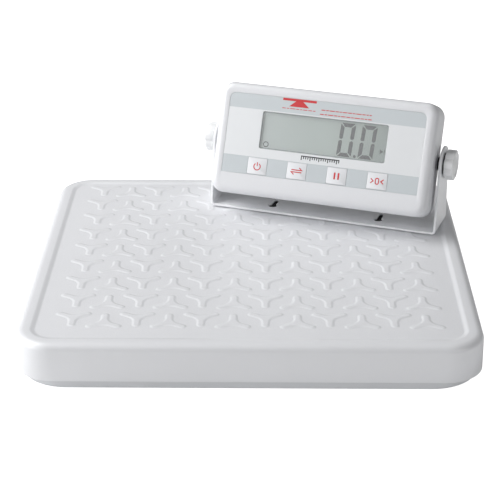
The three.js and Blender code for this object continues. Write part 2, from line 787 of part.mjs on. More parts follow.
// ---------------------------------------------------------------- assembly
function add(parent, name, geometry, material) {
  const mesh = new THREE.Mesh(geometry, material);
  mesh.name = name;
  parent.add(mesh);
  return mesh;
}

function buildPlatform() {
  const platform = new THREE.Group();
  add(platform, 'platform_cover', platformCover(), WHITE_ABS());
  add(platform, 'stiffener_plate', stiffenerPlate(), STEEL());
  add(platform, 'base_tray', baseTray(), GREY_ABS());
  add(platform, 'junction_board', junctionBoard(), BOARD_GREEN());
  add(platform, 'cable_gland', cableGland(), BLACK_PLASTIC());
  for (const [corner, x, y] of footPositions()) {
    add(platform, `cell_holder_${corner}`, cellHolder(), WHITE_ABS()).position.set(x, y, 0);
    add(platform, `load_cell_${corner}`, loadCell(), STEEL()).position.set(x, y, 0);
    add(platform, `foot_cup_${corner}`, footCup(), GREY_ABS()).position.set(x, y, 0);
    add(platform, `foot_pad_${corner}`, footPad(), RUBBER()).position.set(x, y, 0);
  }
  pillarPositions().forEach(([x, y], i) => {
    const fastener = add(platform, `tray_screw_${i + 1}`, screw(TRAY_SCREW_L), STEEL());
    fastener.position.set(x, y, TRAY_Z + 0.6);
  });
  return platform;
}

function buildClamps(head) {
  for (const [side, turn] of [['right', 0], ['left', Math.PI]]) {
    const pieces = [
      ['knob', knob(), KNOB_PLASTIC()],
      ['stud', stud(), STEEL()],
      ['washer', washer(), BLACK_PLASTIC()],
      ['spacer', spacer(), BLACK_PLASTIC()],
      ['insert', insert(), BRASS()],
    ];
    for (const [name, geometry, material] of pieces) {
      add(head, `${name}_${side}`, geometry, material).rotation.z = turn;
    }
  }
}

function buildHead() {
  const head = new THREE.Group();
  add(head, 'front_bezel', frontBezel(), WHITE_ABS());
  add(head, 'rear_shell', rearShell(), WHITE_ABS());
  add(head, 'face_overlay', faceOverlay(), paint(0xdfe3e6, 0.45));
  add(head, 'lcd_window', lcdWindow(), paint(0xaeb8b3, 0.15));
  add(head, 'lcd_module', lcdModule(), paint(0x9fa9a4, 0.4));
  add(head, 'main_board', mainBoard(), BOARD_GREEN());
  KEY_NAMES.forEach((name, i) => add(head, name, keyCap(i), paint(0xf3f4f5, 0.45)));
  add(head, 'battery_tray', batteryTray(), BLACK_PLASTIC());
  add(head, 'battery_door', batteryDoor(), WHITE_ABS());
  for (let i = 0; i < 4; i += 1) add(head, `battery_${i + 1}`, battery(i), paint(0x8a8f96, 0.4, 0.6));
  const socket = add(head, 'signal_socket', panelSocket(SOCKET), BLACK_PLASTIC());
  socket.position.set(SOCKET_AT[0], 0, SOCKET_AT[1]);
  const jack = add(head, 'power_jack', panelSocket(JACK), BLACK_PLASTIC());
  jack.position.set(JACK_AT[0], 0, JACK_AT[1]);
  screwPosts().forEach(([x, z], i) => {
    const fastener = add(head, `case_screw_${i + 1}`, screw(CASE_SCREW_L), STEEL());
    fastener.rotation.x = Math.PI / 2;
    fastener.position.set(x, REAR_Y - 2.7, z);
  });
  buildClamps(head);
  return head;
}

function buildIndicator() {
  const indicator = new THREE.Group();
  indicator.position.set(...BRACKET_AT);
  indicator.rotation.z = BRACKET_YAW * DEG;
  add(indicator, 'bracket', bracket(), WHITE_STEEL());
  add(indicator, 'bracket_pad_left', bracketPad(), RUBBER()).position.x = BRACKET_PAD_X;
  add(indicator, 'bracket_pad_right', bracketPad(), RUBBER()).position.x = BRACKET_L - BRACKET_PAD_X;
  const head = buildHead();
  head.position.set(BRACKET_L / 2, PIVOT_Y, PIVOT_Z);
  head.rotation.x = -HEAD_TILT * DEG;
  indicator.add(head);
  return indicator;
}

const scale = new THREE.Group();
scale.add(buildPlatform(), buildIndicator());

export default scale;
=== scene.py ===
"""Platform shipping scale: the visual model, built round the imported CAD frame.

World units are metres. Pieces are built in millimetres in one of three places: the platform's
own frame, the bracket's (origin on the tilt axis, level) and the display head's (origin on the
tilt axis, -Y out of the face, +Z up the face).
"""

import json
import math

import bmesh
import bpy
from mathutils import Matrix, Vector


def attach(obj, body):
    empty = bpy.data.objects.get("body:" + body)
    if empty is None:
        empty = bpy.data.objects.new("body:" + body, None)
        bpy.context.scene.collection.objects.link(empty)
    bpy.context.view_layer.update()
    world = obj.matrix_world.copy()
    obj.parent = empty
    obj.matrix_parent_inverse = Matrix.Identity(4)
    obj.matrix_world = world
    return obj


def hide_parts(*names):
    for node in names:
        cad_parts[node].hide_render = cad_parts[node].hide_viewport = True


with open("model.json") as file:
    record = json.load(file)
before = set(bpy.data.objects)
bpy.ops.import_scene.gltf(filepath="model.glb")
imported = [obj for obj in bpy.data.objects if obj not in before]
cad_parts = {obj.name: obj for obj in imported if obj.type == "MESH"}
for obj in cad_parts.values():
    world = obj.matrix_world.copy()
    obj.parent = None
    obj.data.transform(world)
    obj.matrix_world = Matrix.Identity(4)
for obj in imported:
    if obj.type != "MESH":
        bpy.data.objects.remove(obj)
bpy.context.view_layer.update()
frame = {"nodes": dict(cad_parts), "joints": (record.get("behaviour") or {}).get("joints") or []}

MM = 0.001
CORNERS = ("front_left", "front_right", "rear_left", "rear_right")
KEYS = ("power", "unit", "hold", "tare")
NUMBERS = range(1, 5)  # screws and battery cells are numbered from 1 to 4


# ---- places
def joint(name):
    return next(j for j in frame["joints"] if j["name"] == name)


def placement(origin, x, y, z):
    matrix = Matrix((x, y, z)).transposed().to_4x4()
    matrix.translation = origin
    return matrix


PIVOT = Vector(joint("head_tilt")["pos_m"])
ACROSS = Vector(joint("head_tilt")["axis"]).normalized()
INTO_FACE = Vector(joint("power_key_press")["axis"]).normalized()
UP = Vector((0, 0, 1))
WORLD = Matrix.Identity(4)
STAND = placement(PIVOT, ACROSS, UP.cross(ACROSS), UP)
HEAD = placement(PIVOT, ACROSS, INTO_FACE, ACROSS.cross(INTO_FACE))


def local_box(node, place=WORLD):
    """A node's lowest and highest corner in a place's own millimetres."""
    inverse = place.inverted()
    points = [(inverse @ v.co) / MM for v in frame["nodes"][node].data.vertices]
    low = Vector([min(p[k] for p in points) for k in range(3)])
    high = Vector([max(p[k] for p in points) for k in range(3)])
    return low, high


# ---- node materials
def srgb(r, g, b):
    """Linear colour of an 8-bit sRGB one."""
    def channel(v):
        v /= 255
        return v / 12.92 if v <= 0.04045 else ((v + 0.055) / 1.055) ** 2.4
    return (channel(r), channel(g), channel(b), 1)


def shade(colour, factor):
    """The colour made darker or lighter, and opaque."""
    return tuple(min(1, c * factor) for c in colour[:3]) + (1,)


class Nodes:
    """A material's node tree, with short calls for the nodes that this script uses."""

    def __init__(self, name):
        self.material = bpy.data.materials.new(name)
        self.material.use_nodes = True
        self.tree = self.material.node_tree
        self.shader = self.tree.nodes["Principled BSDF"]
        self.coords = self.new("TexCoord").outputs["Object"]

    def link(self, source, target):
        self.tree.links.new(source, target)

    def new(self, kind, **values):
        node = self.tree.nodes.new("ShaderNode" + kind)
        self.put(node, values)
        return node

    def put(self, node, values):
        for key, value in values.items():
            node.inputs[key.replace("_", " ")].default_value = value

    def noise(self, scale, detail=2, stretch=None):
        node = self.new("TexNoise", Scale=scale, Detail=detail)
        source = self.coords
        if stretch:
            mapping = self.new("Mapping", Scale=stretch)
            self.link(self.coords, mapping.inputs["Vector"])
            source = mapping.outputs["Vector"]
        self.link(source, node.inputs["Vector"])
        return node.outputs["Fac"]

    def ramp(self, fac, stops, smooth=False):
        node = self.new("ValToRGB")
        node.color_ramp.interpolation = "EASE" if smooth else "LINEAR"
        elements = node.color_ramp.elements
        while len(elements) < len(stops):
            elements.new(0.5)
        for element, (position, colour) in zip(elements, stops):
            element.position = position
            element.color = colour
        self.link(fac, node.inputs["Fac"])
        return node.outputs["Color"]

    def spread(self, fac, low, high, start=0.35, end=0.65):
        """A value that runs from low to high as fac runs from start to end."""
        node = self.new("MapRange", From_Min=start, From_Max=end, To_Min=low, To_Max=high)
        self.link(fac, node.inputs["Value"])
        return node.outputs["Result"]

    def bump(self, height, distance, strength, after=None):
        node = self.new("Bump", Strength=strength, Distance=distance)
        self.link(height, node.inputs["Height"])
        if after is not None:
            self.link(after, node.inputs["Normal"])
        return node.outputs["Normal"]

    def mix(self, fac, first, second):
        node = self.new("Mix")
        node.data_type = "RGBA"
        self.link(fac, node.inputs["Factor"])
        for key, value in (("A", first), ("B", second)):
            socket = next(s for s in node.inputs if s.name == key and s.type == "RGBA")
            if isinstance(value, tuple):
                socket.default_value = value
            else:
                self.link(value, socket)
        return next(s for s in node.outputs if s.type == "RGBA")

    def along(self, place, k):
        """A place's own coordinate k, in metres."""
        axis = place.col[k].to_3d()
        node = self.new("VectorMath")
        node.operation = "DOT_PRODUCT"
        self.link(self.coords, node.inputs[0])
        node.inputs[1].default_value = axis
        return self.math("SUBTRACT", node.outputs["Value"], axis.dot(place.translation))

    def math(self, operation, first, second):
        node = self.new("Math")
        node.operation = operation
        for socket, value in zip(node.inputs, (first, second)):
            if isinstance(value, (int, float)):
                socket.default_value = value
            else:
                self.link(value, socket)
        return node.outputs["Value"]

    def set(self, **values):
        self.put(self.shader, values)

    def into(self, key, source):
        self.link(source, self.shader.inputs[key])


def moulded(name, colour, roughness, grain=0.0, grain_size=0.9, coat=0.0):
    """Injection-moulded plastic: faint flow variation, and a spark-eroded grain where asked."""
    n = Nodes(name)
    tones = [(0.1, shade(colour, 0.99)), (0.9, shade(colour, 1.01))]
    flow = n.ramp(n.noise(9, 3), tones, smooth=True)
    fine = None
    if grain:
        pits = n.noise(1000 / grain_size, 3)
        flow = n.mix(n.spread(pits, 0.0, 0.05 + 0.15 * grain, 0.4, 0.7), flow, shade(colour, 0.85))
        fine = n.bump(pits, 0.0001 * grain, 0.6)
    n.into("Base Color", flow)
    n.into("Roughness", n.spread(n.noise(26, 4), roughness * 0.94, roughness * 1.06, 0.1, 0.9))
    n.into("Normal", n.bump(n.noise(14, 2), 0.0004, 0.06, after=fine))
    n.set(Coat_Weight=coat, Coat_Roughness=0.12, IOR=1.5)
    return n.material


def surface(n, colour, tone, rough, relief=None):
    """Noise in a colour's tone, in its roughness and, where asked, in its relief.

    Each holds a noise's scale and detail, then its range; a relief, its distance and strength.
    """
    scale, detail, low, high = tone
    tones = [(0.3, shade(colour, low)), (0.7, shade(colour, high))]
    n.into("Base Color", n.ramp(n.noise(scale, detail), tones))
    scale, detail, low, high = rough
    n.into("Roughness", n.spread(n.noise(scale, detail), low, high))
    if relief:
        scale, detail, distance, strength = relief
        n.into("Normal", n.bump(n.noise(scale, detail), distance, strength))
    return n.material


def powder_coat(name, colour):
    """Fine orange peel over a satin colour."""
    n = Nodes(name)
    n.set(IOR=1.5, Coat_Weight=0.2, Coat_Roughness=0.2)
    return surface(n, colour, (12, 3, 0.97, 1), (60, 3, 0.32, 0.42), (900, 2, 0.00006, 0.5))


def bare_metal(name, colour, roughness, stretch=(1, 1, 12)):
    """Machined or plated metal with drawn marks along one axis."""
    n = Nodes(name)
    drawn = n.noise(160, 3, stretch)
    n.into("Base Color", n.ramp(drawn, [(0.25, shade(colour, 0.85)), (0.75, colour)]))
    n.into("Roughness", n.spread(drawn, roughness * 0.8, roughness * 1.3))
    n.into("Normal", n.bump(drawn, 0.00003, 0.5))
    n.set(Metallic=1.0)
    return n.material


def rubber(name, colour):
    """Dull moulded rubber with a fine uneven skin."""
    relief = (1100, 3, 0.00012, 0.6)
    return surface(Nodes(name), colour, (70, 4, 0.8, 1.25), (200, 3, 0.7, 0.9), relief)


def circuit_board(name):
    """Solder mask with a grid of tracks and tinned pads."""
    n = Nodes(name)
    green = srgb(30, 96, 58)
    voronoi = n.new("TexVoronoi", Scale=260)
    n.link(n.coords, voronoi.inputs["Vector"])
    pads = n.spread(voronoi.outputs["Distance"], 1, 0, 0.12, 0.2)
    mask = n.ramp(n.noise(300, 1, (1, 6, 1)), [(0.45, shade(green, 0.8)), (0.55, green)])
    n.into("Base Color", n.mix(pads, mask, srgb(190, 188, 170)))
    n.into("Metallic", pads)
    n.into("Roughness", n.spread(n.noise(90), 0.3, 0.45))
    return n.material


def overlay_print(name, bands):
    """Printed polycarbonate film: pale between two heights, with bands below and above."""
    n = Nodes(name)
    low, high = bands
    z = n.along(HEAD, 2)
    middle = n.ramp(n.noise(11, 3), [(0.3, OVERLAY_PALE), (0.7, shade(OVERLAY_PALE, 1.03))])
    below = n.mix(n.math("LESS_THAN", z, low * MM), middle, OVERLAY_BAND)
    n.into("Base Color", n.mix(n.math("GREATER_THAN", z, high * MM), below, OVERLAY_BAND))
    n.into("Roughness", n.spread(n.noise(120, 3), 0.34, 0.44))
    n.into("Normal", n.bump(n.noise(1500, 2), 0.00004, 0.5))
    n.set(IOR=1.5)
    return n.material


def lcd_reflector_with_painted_glare(name, half_width):
    """The display's grey-green reflector, faintly clouded, with a painted reflection of the lights
    that darkens it toward its right end.
    """
    n = Nodes(name)
    along = n.math("ADD", n.math("MULTIPLY", n.along(HEAD, 0), 0.5 / (half_width * MM)), 0.5)
    wander = n.math("MULTIPLY", n.math("SUBTRACT", n.noise(22, 2), 0.5), 0.3)
    place = n.math("ADD", along, wander)
    n.into("Base Color", n.ramp(place, LCD_STOPS_WITH_PAINTED_GLARE, smooth=True))
    n.into("Roughness", n.spread(n.noise(400, 2), 0.42, 0.5))
    n.set(Specular_IOR_Level=0.3)
    return n.material


def clear_film(name):
    """Clear window: mostly see-through, with a soft gloss."""
    n = Nodes(name)
    n.into("Roughness", n.spread(n.noise(80, 2), 0.05, 0.09))
    n.set(Base_Color=(0.95, 0.97, 0.96, 1), Alpha=0.12, IOR=1.45)
    return n.material


def ink(name, colour):
    """Matt printing ink, also used for the display's dark segments."""
    return surface(Nodes(name), colour, (500, 2, 0.94, 1), (300, 2, 0.4, 0.5))


WHITE = srgb(232, 233, 236)
DECK_WHITE = srgb(231, 232, 235)
OVERLAY_PALE = srgb(226, 228, 230)
OVERLAY_BAND = srgb(200, 206, 209)
# The reflector's colours from its left end to its right: the fall toward the right is a painted
# reflection of the lights
LCD_STOPS_WITH_PAINTED_GLARE = [
    (0.0, srgb(176, 184, 183)),
    (0.45, srgb(168, 178, 175)),
    (0.75, srgb(160, 170, 166)),
    (1.0, srgb(142, 152, 149)),
]

MAT = {
    "abs": moulded("white_abs", WHITE, 0.32, coat=0.15),
    "abs_deck": moulded("white_abs_deck", DECK_WHITE, 0.36, grain=0.8, grain_size=0.8),
    # The head is the same white ABS as the cover, made a little darker here as painted shade
    "abs_head_shaded": moulded("white_abs_head", srgb(226, 227, 230), 0.32, grain=0.15, coat=0.1),
    # The tray's plastic, darker than the cover's white partly as painted shade of the strip
    # recessed under the cover
    "tray": moulded("tray_plastic_grey_and_shaded", srgb(216, 218, 221), 0.45, grain=0.5),
    "inner": moulded("holder_plastic", srgb(225, 225, 220), 0.5),
    "knob": moulded("knob_plastic", srgb(242, 243, 244), 0.36, grain=0.2),
    "black": moulded("black_plastic", srgb(38, 39, 42), 0.42, grain=0.4),
    "seal": moulded("seal_rubber", srgb(94, 95, 98), 0.6, grain=0.4),
    "powder": powder_coat("white_powder_coat", srgb(246, 247, 249)),
    "steel": bare_metal("zinc_plated_steel", srgb(196, 199, 202), 0.3),
    "brass": bare_metal("brass", srgb(205, 170, 96), 0.28),
    "rubber": rubber("black_rubber", srgb(34, 35, 37)),
    "board": circuit_board("circuit_board"),
    "key": moulded("key_film", srgb(227, 228, 231), 0.4, grain=0.1),
    "red": ink("red_ink", srgb(206, 62, 66)),
    "dark": ink("dark_ink", srgb(48, 49, 52)),
    "segment": ink("lcd_segment", srgb(52, 54, 60)),
    # the ledge round the display's window, darkened partly as painted shade
    "mask": ink("lcd_ledge_shade", srgb(138, 146, 146)),
    "cell": bare_metal("battery_jacket", srgb(120, 128, 138), 0.35, (1, 1, 1)),
    "window": clear_film("lcd_window_film"),
}


# ---- meshes
class Shell:
    """A mesh built from loops of points, in a place's own millimetres."""

    def __init__(self):
        self.bm = bmesh.new()
        self.slot = 0

    def face(self, verts):
        face = self.bm.faces.new(verts)
        face.material_index = self.slot
        return face

    def loop(self, points):
        return [self.bm.verts.new(p) for p in points]

    def bridge(self, first, second):
        for i in range(len(first)):
            j = (i + 1) % len(first)
            self.face((first[i], first[j], second[j], second[i]))

    def loft(self, rings):
        loops = [self.loop(ring) for ring in rings]
        for first, second in zip(loops, loops[1:]):
            self.bridge(first, second)
        return loops

    def fill(self, normal, *loops):
        """Fills a flat area bounded by the first loop, with the others as holes in it."""
        edges = []
        for loop in loops:
            for i, vert in enumerate(loop):
                after = loop[(i + 1) % len(loop)]
                edges.append(self.bm.edges.get((vert, after)) or self.bm.edges.new((vert, after)))
        made = bmesh.ops.triangle_fill(self.bm, use_beauty=True, edges=edges, normal=normal)
        for item in made["geom"]:
            if isinstance(item, bmesh.types.BMFace):
                item.material_index = self.slot

    def solid(self, rings):
        """A loft closed at both ends."""
        loops = self.loft(rings)
        self.face(loops[0])
        self.face(loops[-1])

    def make(self, name, place, *materials, sharp=38):
        """The piece in world coordinates. Edges sharper than `sharp` degrees stay crisp."""
        bmesh.ops.recalc_face_normals(self.bm, faces=self.bm.faces)
        mesh = bpy.data.meshes.new(name)
        self.bm.to_mesh(mesh)
        self.bm.free()
        mesh.transform(place @ Matrix.Scale(MM, 4))
        mesh.shade_smooth()
        mesh.set_sharp_from_angle(angle=math.radians(sharp))
        for material in materials:
            mesh.materials.append(material)
        piece = bpy.data.objects.new(name, mesh)
        bpy.context.scene.collection.objects.link(piece)
        return piece


def bevel(piece, width, segments, angle):
    modifier = piece.modifiers.new("edges", "BEVEL")
    modifier.width = width * MM
    modifier.segments = segments
    modifier.limit_method = "ANGLE"
    modifier.angle_limit = math.radians(angle)
    modifier.use_clamp_overlap = False
    modifier.harden_normals = True


def settle(piece, body, slot, *nodes):
    """The piece rides on a body and stands for CAD nodes, which are hidden. The slot is not used.
    """
    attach(piece, body)
    if nodes:
        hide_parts(*nodes)
    return piece


def unit(degrees):
    """Cosine and sine of an angle."""
    return math.cos(math.radians(degrees)), math.sin(math.radians(degrees))


def arc(centre, radius, start, end, steps):
    """Points of an arc, from one angle to another."""
    turns = (unit(start + (end - start) * i / steps) for i in range(steps + 1))
    return [(centre[0] + radius * c, centre[1] + radius * s) for c, s in turns]


def circle(radius, at=(0, 0), sides=40):
    return arc(at, radius, 0, 360, sides)[:-1]


def rounded(width, height, radii, at=(0, 0), steps=10):
    """A rectangle's loop. radii is one value, or four from the top right anticlockwise."""
    if not isinstance(radii, (tuple, list)):
        radii = (radii,) * 4
    points = []
    signs = ((1, 1), (-1, 1), (-1, -1), (1, -1))
    for quarter, ((sx, sy), radius) in enumerate(zip(signs, radii)):
        centre = at[0] + sx * (width / 2 - radius), at[1] + sy * (height / 2 - radius)
        points += arc(centre, radius, 90 * quarter, 90 * quarter + 90, steps)
    return points


def on_z(loop, z):
    return [(a, b, z) for a, b in loop]


def on_y(loop, y):
    return [(a, y, b) for a, b in loop]


def on_x(loop, x):
    return [(x, a, b) for a, b in loop]


LEVEL = {"x": on_x, "y": on_y, "z": on_z}


def middle_of(low, high, first="x", second="z"):
    """The middle of a box, across two of its axes."""
    return tuple((getattr(low, key) + getattr(high, key)) / 2 for key in (first, second))


def turned(name, place, axis, at, profile, material, sides=48, ring=False):
    """A body of revolution from [(radius, position along axis)]: closed at its ends, or a ring."""
    shell = Shell()
    rings = [LEVEL[axis](circle(r, at, sides), p) for r, p in profile]
    if ring:
        loops = shell.loft(rings)
        shell.bridge(loops[-1], loops[0])
    else:
        shell.solid(rings)
    return shell.make(name, place, material)


# ---- platform
COVER_LOW, COVER_HIGH = local_box("platform_cover")
PLATFORM_W = COVER_HIGH.x - COVER_LOW.x
PLATFORM_D = COVER_HIGH.y - COVER_LOW.y
SKIRT_Z = COVER_LOW.z
RIM_Z = COVER_HIGH.z
DECK_DROP = 1.0  # from the rim's top down to the deck
DECK_Z = RIM_Z - DECK_DROP
COVER_R = 30  # corners of the cover, from above
CREST_W, CREST_H = 6.6, 5.6  # the rounded outer edge, across and down
CREST_STEPS = 14
SKIRT_LEAN = 0.12  # of the skirt from its foot to the crest
SLOPE_OUT, SLOPE_IN = 10.7, 15.6  # top and foot of the rim's inner slope
SLOPE_STEPS = 12
WALL = 2.6
OUTLET_R = 5.8  # hole for the cable gland

TRAY_R = 37.5  # corners of the tray's underside
TRAY_FLOOR = 2.4
TRAY_WALL_TOP = 13.5
FOOT_HOLE_R = 21.5
GROOVE_ROWS = (-78, -52, -26, 0, 26, 52, 78)
GROOVE_COLUMNS = (-142, 142)
GROOVE_ACROSS, GROOVE_ALONG = 232, 170
GROOVE_W, GROOVE_DEPTH = 9, 0.9

COLUMNS, ROWS = 12, 9  # of the deck's tread figures
PITCH_X, PITCH_Y = 24.3, 32.6
TREAD_Y = 6.3  # the middle row
BLADE_REACH = 12.1  # from a figure's centre to the centre of a blade's tip
BLADE_HALF = 2.45
BLADE_SHIFT = 4.2  # every second column is inverted and shifted the other way
CROTCH_R = 9.5  # the fillet between two blades
BLADE_STEPS = 6  # round each tip and each fillet
# How far a blade's edge stands out from its width, and its height over the deck
BLADE_EDGE = [
    (1.5, 0), (1.1, 0.012), (0.7, 0.07), (0.25, 0.18),
    (-0.2, 0.3), (-0.65, 0.395), (-1.1, 0.44), (-1.5, 0.45),
]


def blade_outline(x, y, turn, grow):
    """A tread figure of three blades from its centre, grown all round by `grow`."""
    half = BLADE_HALF + grow
    fillet = CROTCH_R - grow
    hub = (half + fillet) / math.sin(math.radians(60))
    points = []
    for arm in (30, 150, 270):
        angle = arm + turn
        c, s = unit(angle)
        tip = (x + BLADE_REACH * c, y + BLADE_REACH * s)
        points += arc(tip, half, angle - 90, angle + 90, BLADE_STEPS)
        c, s = unit(angle + 60)
        points += arc((x + hub * c, y + hub * s), fillet, angle - 90, angle - 150, BLADE_STEPS)
    return points


def blade_places():
    """Each tread figure's centre and turn."""
    for column in range(COLUMNS):
        inverted = column % 2 == 1
        x = (column - (COLUMNS - 1) / 2) * PITCH_X
        for row in range(ROWS):
            y = TREAD_Y + (row - (ROWS - 1) / 2) * PITCH_Y
            yield x, y + (-BLADE_SHIFT if inverted else BLADE_SHIFT), 180 if inverted else 0


def platform_ring(inset, z, radius):
    size = (PLATFORM_W - 2 * inset, PLATFORM_D - 2 * inset)
    return on_z(rounded(*size, radius, steps=16), z)


def open_rear_wall(shell, lower, upper, at, radius):
    """Opens a round hole in the rear face between two loops of a loft, and returns its edge."""
    rear = max(vert.co.y for vert in lower) - 0.01
    pairs = zip(lower, lower[1:] + lower[:1])
    i = next(i for i, (a, b) in enumerate(pairs) if min(a.co.y, b.co.y) > rear)
    j = (i + 1) % len(lower)
    corners = [lower[i], lower[j], upper[j], upper[i]]
    wall = next(face for face in lower[i].link_faces if set(face.verts) == set(corners))
    shell.bm.faces.remove(wall)
    foot = lower[i].co.copy()
    rise = upper[i].co - foot
    slant = rise.y / rise.z
    edge = shell.loop([(x, foot.y + slant * (z - foot.z), z) for x, z in circle(radius, at)])
    shell.fill((0, 1, 0), corners, edge)
    return edge


def platform_cover():
    shell = Shell()
    # Inset and height, from the closed inside down the skirt's inner wall (1 to 2), round its
    # foot, up its outer wall (6 to 7), over the crest and down the slope to the deck
    profile = [(WALL + 1.6, DECK_Z - 2.6), (WALL + 1.1, DECK_Z - 3.4), (WALL, SKIRT_Z + 0.3)]
    profile += [(WALL - 0.3, SKIRT_Z), (0.4, SKIRT_Z), (0.1, SKIRT_Z + 0.12), (0, SKIRT_Z + 0.45)]
    crest = [unit(180 - 90 * i / CREST_STEPS) for i in range(CREST_STEPS + 1)]
    profile += [(SKIRT_LEAN + CREST_W * (1 + c), RIM_Z - CREST_H * (1 - s)) for c, s in crest]
    for i in range(SLOPE_STEPS + 1):
        t = i / SLOPE_STEPS
        fall = t * t * (3 - 2 * t)
        profile.append((SLOPE_OUT + (SLOPE_IN - SLOPE_OUT) * t, RIM_Z - DECK_DROP * fall))
    profile.append((SLOPE_IN + 0.6, DECK_Z))
    loops = shell.loft([platform_ring(inset, z, COVER_R - inset) for inset, z in profile])
    shell.face(loops[0])
    outlet = middle_of(*local_box("cable_gland")), OUTLET_R
    inside = open_rear_wall(shell, loops[2], loops[1], *outlet)
    outside = open_rear_wall(shell, loops[6], loops[7], *outlet)
    shell.bridge(inside, outside)
    shell.slot = 1
    holes = []
    for x, y, turn in blade_places():
        rings = [on_z(blade_outline(x, y, turn, grow), DECK_Z + rise) for grow, rise in BLADE_EDGE]
        blade = shell.loft(rings)
        holes.append(blade[0])
        shell.fill((0, 0, 1), blade[-1])
    shell.fill((0, 0, 1), loops[-1], *holes)
    piece = shell.make("cover_shell", WORLD, MAT["abs"], MAT["abs_deck"])
    settle(piece, "platform", "white_abs", "platform_cover")


def tray_groove(shell, at, width, height, z):
    """A shallow stiffening groove pressed up into the underside; returns its mouth."""
    mouth = shell.loop(on_z(rounded(width, height, GROOVE_W / 2 - 0.1, at, 8), z))
    inner = rounded(width - 2, height - 2, GROOVE_W / 2 - 1.1, at, 8)
    top = shell.loop(on_z(inner, z + GROOVE_DEPTH))
    shell.bridge(mouth, top)
    shell.face(top)
    return mouth


def base_tray():
    low, high = local_box("base_tray")
    shell = Shell()
    floor_top = low.z + TRAY_FLOOR
    edge_z = SKIRT_Z - 0.3
    inset = (PLATFORM_W - (high.x - low.x)) / 2
    inner, outer, lower_r = COVER_R - 5.5, COVER_R - 3.5, TRAY_R - 5.5
    # Inset, height and corner radius, from the floor's inside to the underside
    profile = [(6.2, floor_top, lower_r), (5.5, floor_top + 0.6, lower_r)]
    profile += [(5.5, TRAY_WALL_TOP, inner), (3.5, TRAY_WALL_TOP, outer), (3.5, edge_z, outer)]
    profile += [(inset + 0.3, edge_z, outer), (inset, edge_z - 0.3, outer + 0.3)]
    profile += [(inset, low.z + 1.2, TRAY_R), (inset + 0.35, low.z + 0.35, TRAY_R - 0.35)]
    profile += [(inset + 1.2, low.z, TRAY_R - 1.2), (inset + 3, low.z, TRAY_R - 3)]
    loops = shell.loft([platform_ring(*point) for point in profile])
    lower, upper = [loops[-1]], [loops[0]]
    foot_hole = [(FOOT_HOLE_R + 0.6, low.z), (FOOT_HOLE_R, low.z + 0.6), (FOOT_HOLE_R, floor_top)]
    for corner in CORNERS:
        at = middle_of(*local_box(f"foot_cup_{corner}"), "x", "y")
        ring = shell.loft([on_z(circle(r, at, 56), z) for r, z in foot_hole])
        lower.append(ring[0])
        upper.append(ring[-1])
    for index in NUMBERS:
        at = middle_of(*local_box(f"tray_screw_{index}"), "x", "y")
        sink = ((4.2, low.z), (3.7, low.z + 0.5), (3.7, low.z + 2.3))
        well = shell.loft([on_z(circle(r, at, 28), z) for r, z in sink])
        shell.face(well[-1])
        lower.append(well[0])
    for y in GROOVE_ROWS:
        lower.append(tray_groove(shell, (0, y), GROOVE_ACROSS, GROOVE_W, low.z))
    for x in GROOVE_COLUMNS:
        lower.append(tray_groove(shell, (x, 0), GROOVE_W, GROOVE_ALONG, low.z))
    shell.fill((0, 0, -1), *lower)
    shell.fill((0, 0, 1), *upper)
    piece = shell.make("tray_shell", WORLD, MAT["tray"])
    settle(piece, "platform", "tray_grey", "base_tray")


def feet():
    for corner in CORNERS:
        low, high = local_box(f"foot_cup_{corner}")
        at = middle_of(low, high, "x", "y")
        r, z = (high.x - low.x) / 2, low.z
        cup = [(17.7, z + 4.5), (17.7, z + 0.3), (18.0, z), (r - 0.4, z), (r, z + 0.4)]
        cup += [(r, z + 4.2), (r - 0.5, z + 4.7), (r - 0.5, z + 5.7), (r, z + 6.2)]
        cup += [(r, z + 13.4), (r - 0.4, z + 14.6), (r - 1.4, z + 15.1), (6.4, z + 15.1)]
        cup += [(6, z + 15.5), (6, high.z - 0.4), (5.6, high.z)]
        piece = turned(f"foot_cup_shell_{corner}", WORLD, "z", at, cup, MAT["tray"], sides=64)
        settle(piece, "platform", "tray_grey", f"foot_cup_{corner}")
        low, high = local_box(f"foot_pad_{corner}")
        z = low.z
        sole = [(3, z + 0.9), (3.6, z)]
        for r in (6.5, 10, 13.5):
            sole += [(r - 0.7, z), (r - 0.3, z + 0.9), (r + 0.3, z + 0.9), (r + 0.7, z)]
        sole += [(16.2, z), (17, z + 0.35), (17.4, z + 1.2), (17.4, high.z - 0.4), (17, high.z)]
        piece = turned(f"foot_sole_{corner}", WORLD, "z", at, sole, MAT["rubber"], sides=64)
        settle(piece, "platform", "rubber", f"foot_pad_{corner}")


SCREW_R = 3.2


def cross_head(name, place, axis, at, outer, sign):
    """A screw's pan head with its cross recess, facing sign along the axis at outer."""
    shell = Shell()
    level = LEVEL[axis]
    rim = [(1, 1.7), (1, 0.7), (0.93, 0.25), (0.78, 0)]
    loops = shell.loft([level(circle(SCREW_R * r, at, 32), outer - sign * p) for r, p in rim])
    shell.face(loops[0])
    arm, half = SCREW_R * 0.58, SCREW_R * 0.14
    cross = []
    for turn in (0, 90, 180, 270):
        c, s = unit(turn)
        for along, side in ((half, -half), (arm, -half * 0.8), (arm, half * 0.8)):
            cross.append((at[0] + along * c - side * s, at[1] + along * s + side * c))
    mouth, bottom = shell.loft([level(cross, outer), level(cross, outer - sign * 0.9)])
    shell.face(bottom)
    normal = (0, sign, 0) if axis == "y" else (0, 0, sign)
    shell.fill(normal, loops[-1], mouth)
    return shell.make(name, place, MAT["steel"])


def screw_heads(node, place, axis, sign, body):
    """Heads just proud of four CAD screws along an axis."""
    across = [key for key in "xyz" if key != axis]
    for index in NUMBERS:
        low, high = local_box(f"{node}_{index}", place)
        outer = getattr(high if sign > 0 else low, axis) + sign * 0.02
        at = middle_of(low, high, *across)
        head = cross_head(f"{node}_head_{index}", place, axis, at, outer, sign)
        settle(head, body, "steel")


